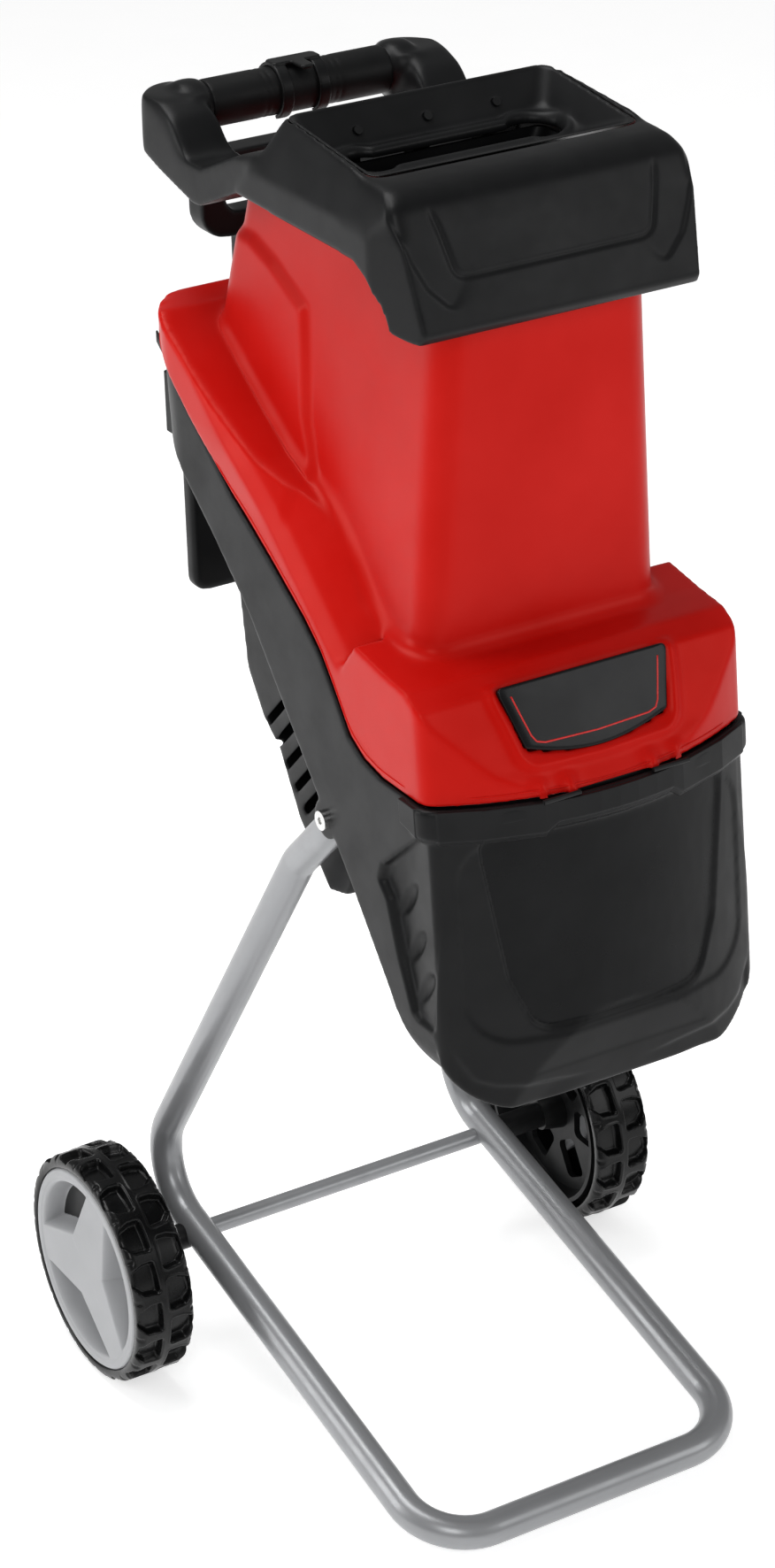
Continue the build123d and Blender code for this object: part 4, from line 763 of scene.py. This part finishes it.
def badge():
    """The blank crowned badge plate, and the thin red line along its sides and foot."""
    hull, face = badge_hull()
    overlap = 2.4
    outline = rounded(hull * (1 + overlap / np.linalg.norm(hull, axis=1, keepdims=True)), 4.0)
    rim = []
    for a, b in zip(outline, np.roll(outline, -1, 0)):
        steps = max(1, int(np.linalg.norm(b - a) / 1.5))
        rim += [a + (b - a) * k / steps for k in range(steps)]
    rim = np.array(rim)
    proud = 1.05
    rows = [(1.0, -2.6), (1.0, 0.45), (0.992, 0.85), (0.98, proud)]
    rows += [(q, proud + 0.5 * (1 - q * q)) for q in (0.9, 0.75, 0.55, 0.35, 0.15)]
    co = [on_badge(u, v, face + height) for scale, height in rows for u, v in rim * scale]
    plate = mesh_object("badge_blank", co, loft_faces(len(rows), len(rim)), "upper_unit", "badge_black")
    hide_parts("badge_plate")
    half = [(0, -16.6), (36, -15.3), (41.5, -13.5), (44, -9.5), (47.3, 2), (51, 15.5)]
    line = [(-u, v) for u, v in half[:0:-1]] + half
    points = []
    for (u, v), (p, q) in zip(line[:-1], line[1:]):
        points += [(u + (p - u) * k / 6, v + (q - v) * k / 6) for k in range(6)]
    path = [on_badge(u, v, face + proud) for u, v in points + line[-1:]]
    mesh_object("badge_outline", *tube_mesh(path, 0.6), "upper_unit", "badge_black", ["badge_red"])


# ---------------------------------------------------------------- pieces
upper_housing()
lower_housing()
seam_tongue()
front_strip()
hopper()
funnel()
plain_skin("motor_cover", "motor_cover_shell", "black_plastic", 1.5, 6)
plain_skin("handle_grip", "grip_sleeve", "grip_black", 1.0, 4)
plain_skin("cable_clip", "cable_clip_arches", "black_nylon", 0.6, 4)
plain_skin("plunger", "plunger_handle", "black_plastic", 1.4, 6)
hub_cap("hub_cap_left", "cap_left", -1)
hub_cap("hub_cap_right", "cap_right", 1)
tyre("tyre_left", "tread_left", -1)
tyre("tyre_right", "tread_right", 1)
badge()

DARK_FIXINGS = ("hinge_pins", "hopper_screws")
for entry in frame["record"]["subparts"]:
    look = "black_nylon" if entry["node"] in DARK_FIXINGS else entry["material_slot"]
    for slot in frame["nodes"][entry["node"]].material_slots:
        slot.material = MATERIALS[look]


# ---------------------------------------------------------------- room, lights and camera
def area_light(name, spot, aim, size, power):
    """A rectangular light in metres and watts, turned towards a point."""
    light = bpy.data.lights.new(name, "AREA")
    light.shape = "RECTANGLE"
    light.size, light.size_y = size
    light.energy = power
    obj = bpy.data.objects.new(name, light)
    bpy.context.scene.collection.objects.link(obj)
    back = np.array(spot) - np.array(aim)
    back = back / np.linalg.norm(back)
    right = np.cross([0, 0, 1], back)
    right /= np.linalg.norm(right)
    place(obj, right, np.cross(back, right), back, spot)


def place(obj, right, up, back, spot):
    """Puts an object at a spot in metres with its own axes along these directions."""
    obj.matrix_world = Matrix([[right[i], up[i], back[i], spot[i]] for i in range(3)] + [[0, 0, 0, 1]])


FLOOR_REACH = 4e4
FLOOR_Z = -0.5
floor_co = [(sx * FLOOR_REACH, sy * FLOOR_REACH, FLOOR_Z)
            for sx, sy in ((-1, -1), (1, -1), (1, 1), (-1, 1))]
floor_mesh = bpy.data.meshes.new("floor")
floor_mesh.from_pydata([tuple(c * MM for c in p) for p in floor_co], [], [(0, 1, 2, 3)])
floor = bpy.data.objects.new("floor", floor_mesh)
bpy.context.scene.collection.objects.link(floor)
floor_look = finish_of("floor", (0.86, 0.86, 0.86), 0.6, 0.03, tone=0.01, grain=200, bump=0.02, wear=0)
floor_shader = next(n for n in floor_look.node_tree.nodes if n.type == "BSDF_PRINCIPLED")
floor_shader.inputs["Emission Color"].default_value = (1, 1, 1, 1)
floor_shader.inputs["Emission Strength"].default_value = 0.60
floor_mesh.materials.append(floor_look)

world = bpy.data.worlds.new("studio")
world.use_nodes = True
world.node_tree.nodes["Background"].inputs[0].default_value = (1.0, 1.0, 1.0, 1)
world.node_tree.nodes["Background"].inputs[1].default_value = 0.30
bpy.context.scene.world = world
bpy.context.scene.view_settings.view_transform = "Standard"

area_light("key", (-1.6, -2.6, 2.4), (0, 0, 0.55), (1.0, 1.6), 26)
area_light("front", (1.8, -2.4, 1.6), (0, 0, 0.5), (1.4, 1.6), 16)
area_light("top", (-0.4, 0.5, 2.8), (0, 0, 0.4), (1.4, 1.2), 34)
area_light("rim", (-2.4, 1.0, 1.4), (0, 0, 0.6), (0.8, 1.8), 24)

AZIMUTH = math.radians(-30.251)
ELEVATION = math.radians(26.676)
ROLL = math.radians(-1.582)
CAMERA_SPOT = (-1.18033, -1.96347, 1.59739)
back = np.array([math.sin(AZIMUTH) * math.cos(ELEVATION), -math.cos(AZIMUTH) * math.cos(ELEVATION),
                 math.sin(ELEVATION)])
right = np.array([math.cos(AZIMUTH), math.sin(AZIMUTH), 0.0])
up = np.cross(back, right)
lens = bpy.data.cameras.new("camera")
lens.lens = 93.49
lens.sensor_width = 36
lens.sensor_fit = "AUTO"
lens.clip_end = 50
camera = bpy.data.objects.new("camera", lens)
bpy.context.scene.collection.objects.link(camera)
place(camera, math.cos(ROLL) * right + math.sin(ROLL) * up, math.cos(ROLL) * up - math.sin(ROLL) * right,
      back, CAMERA_SPOT)
bpy.context.scene.camera = camera
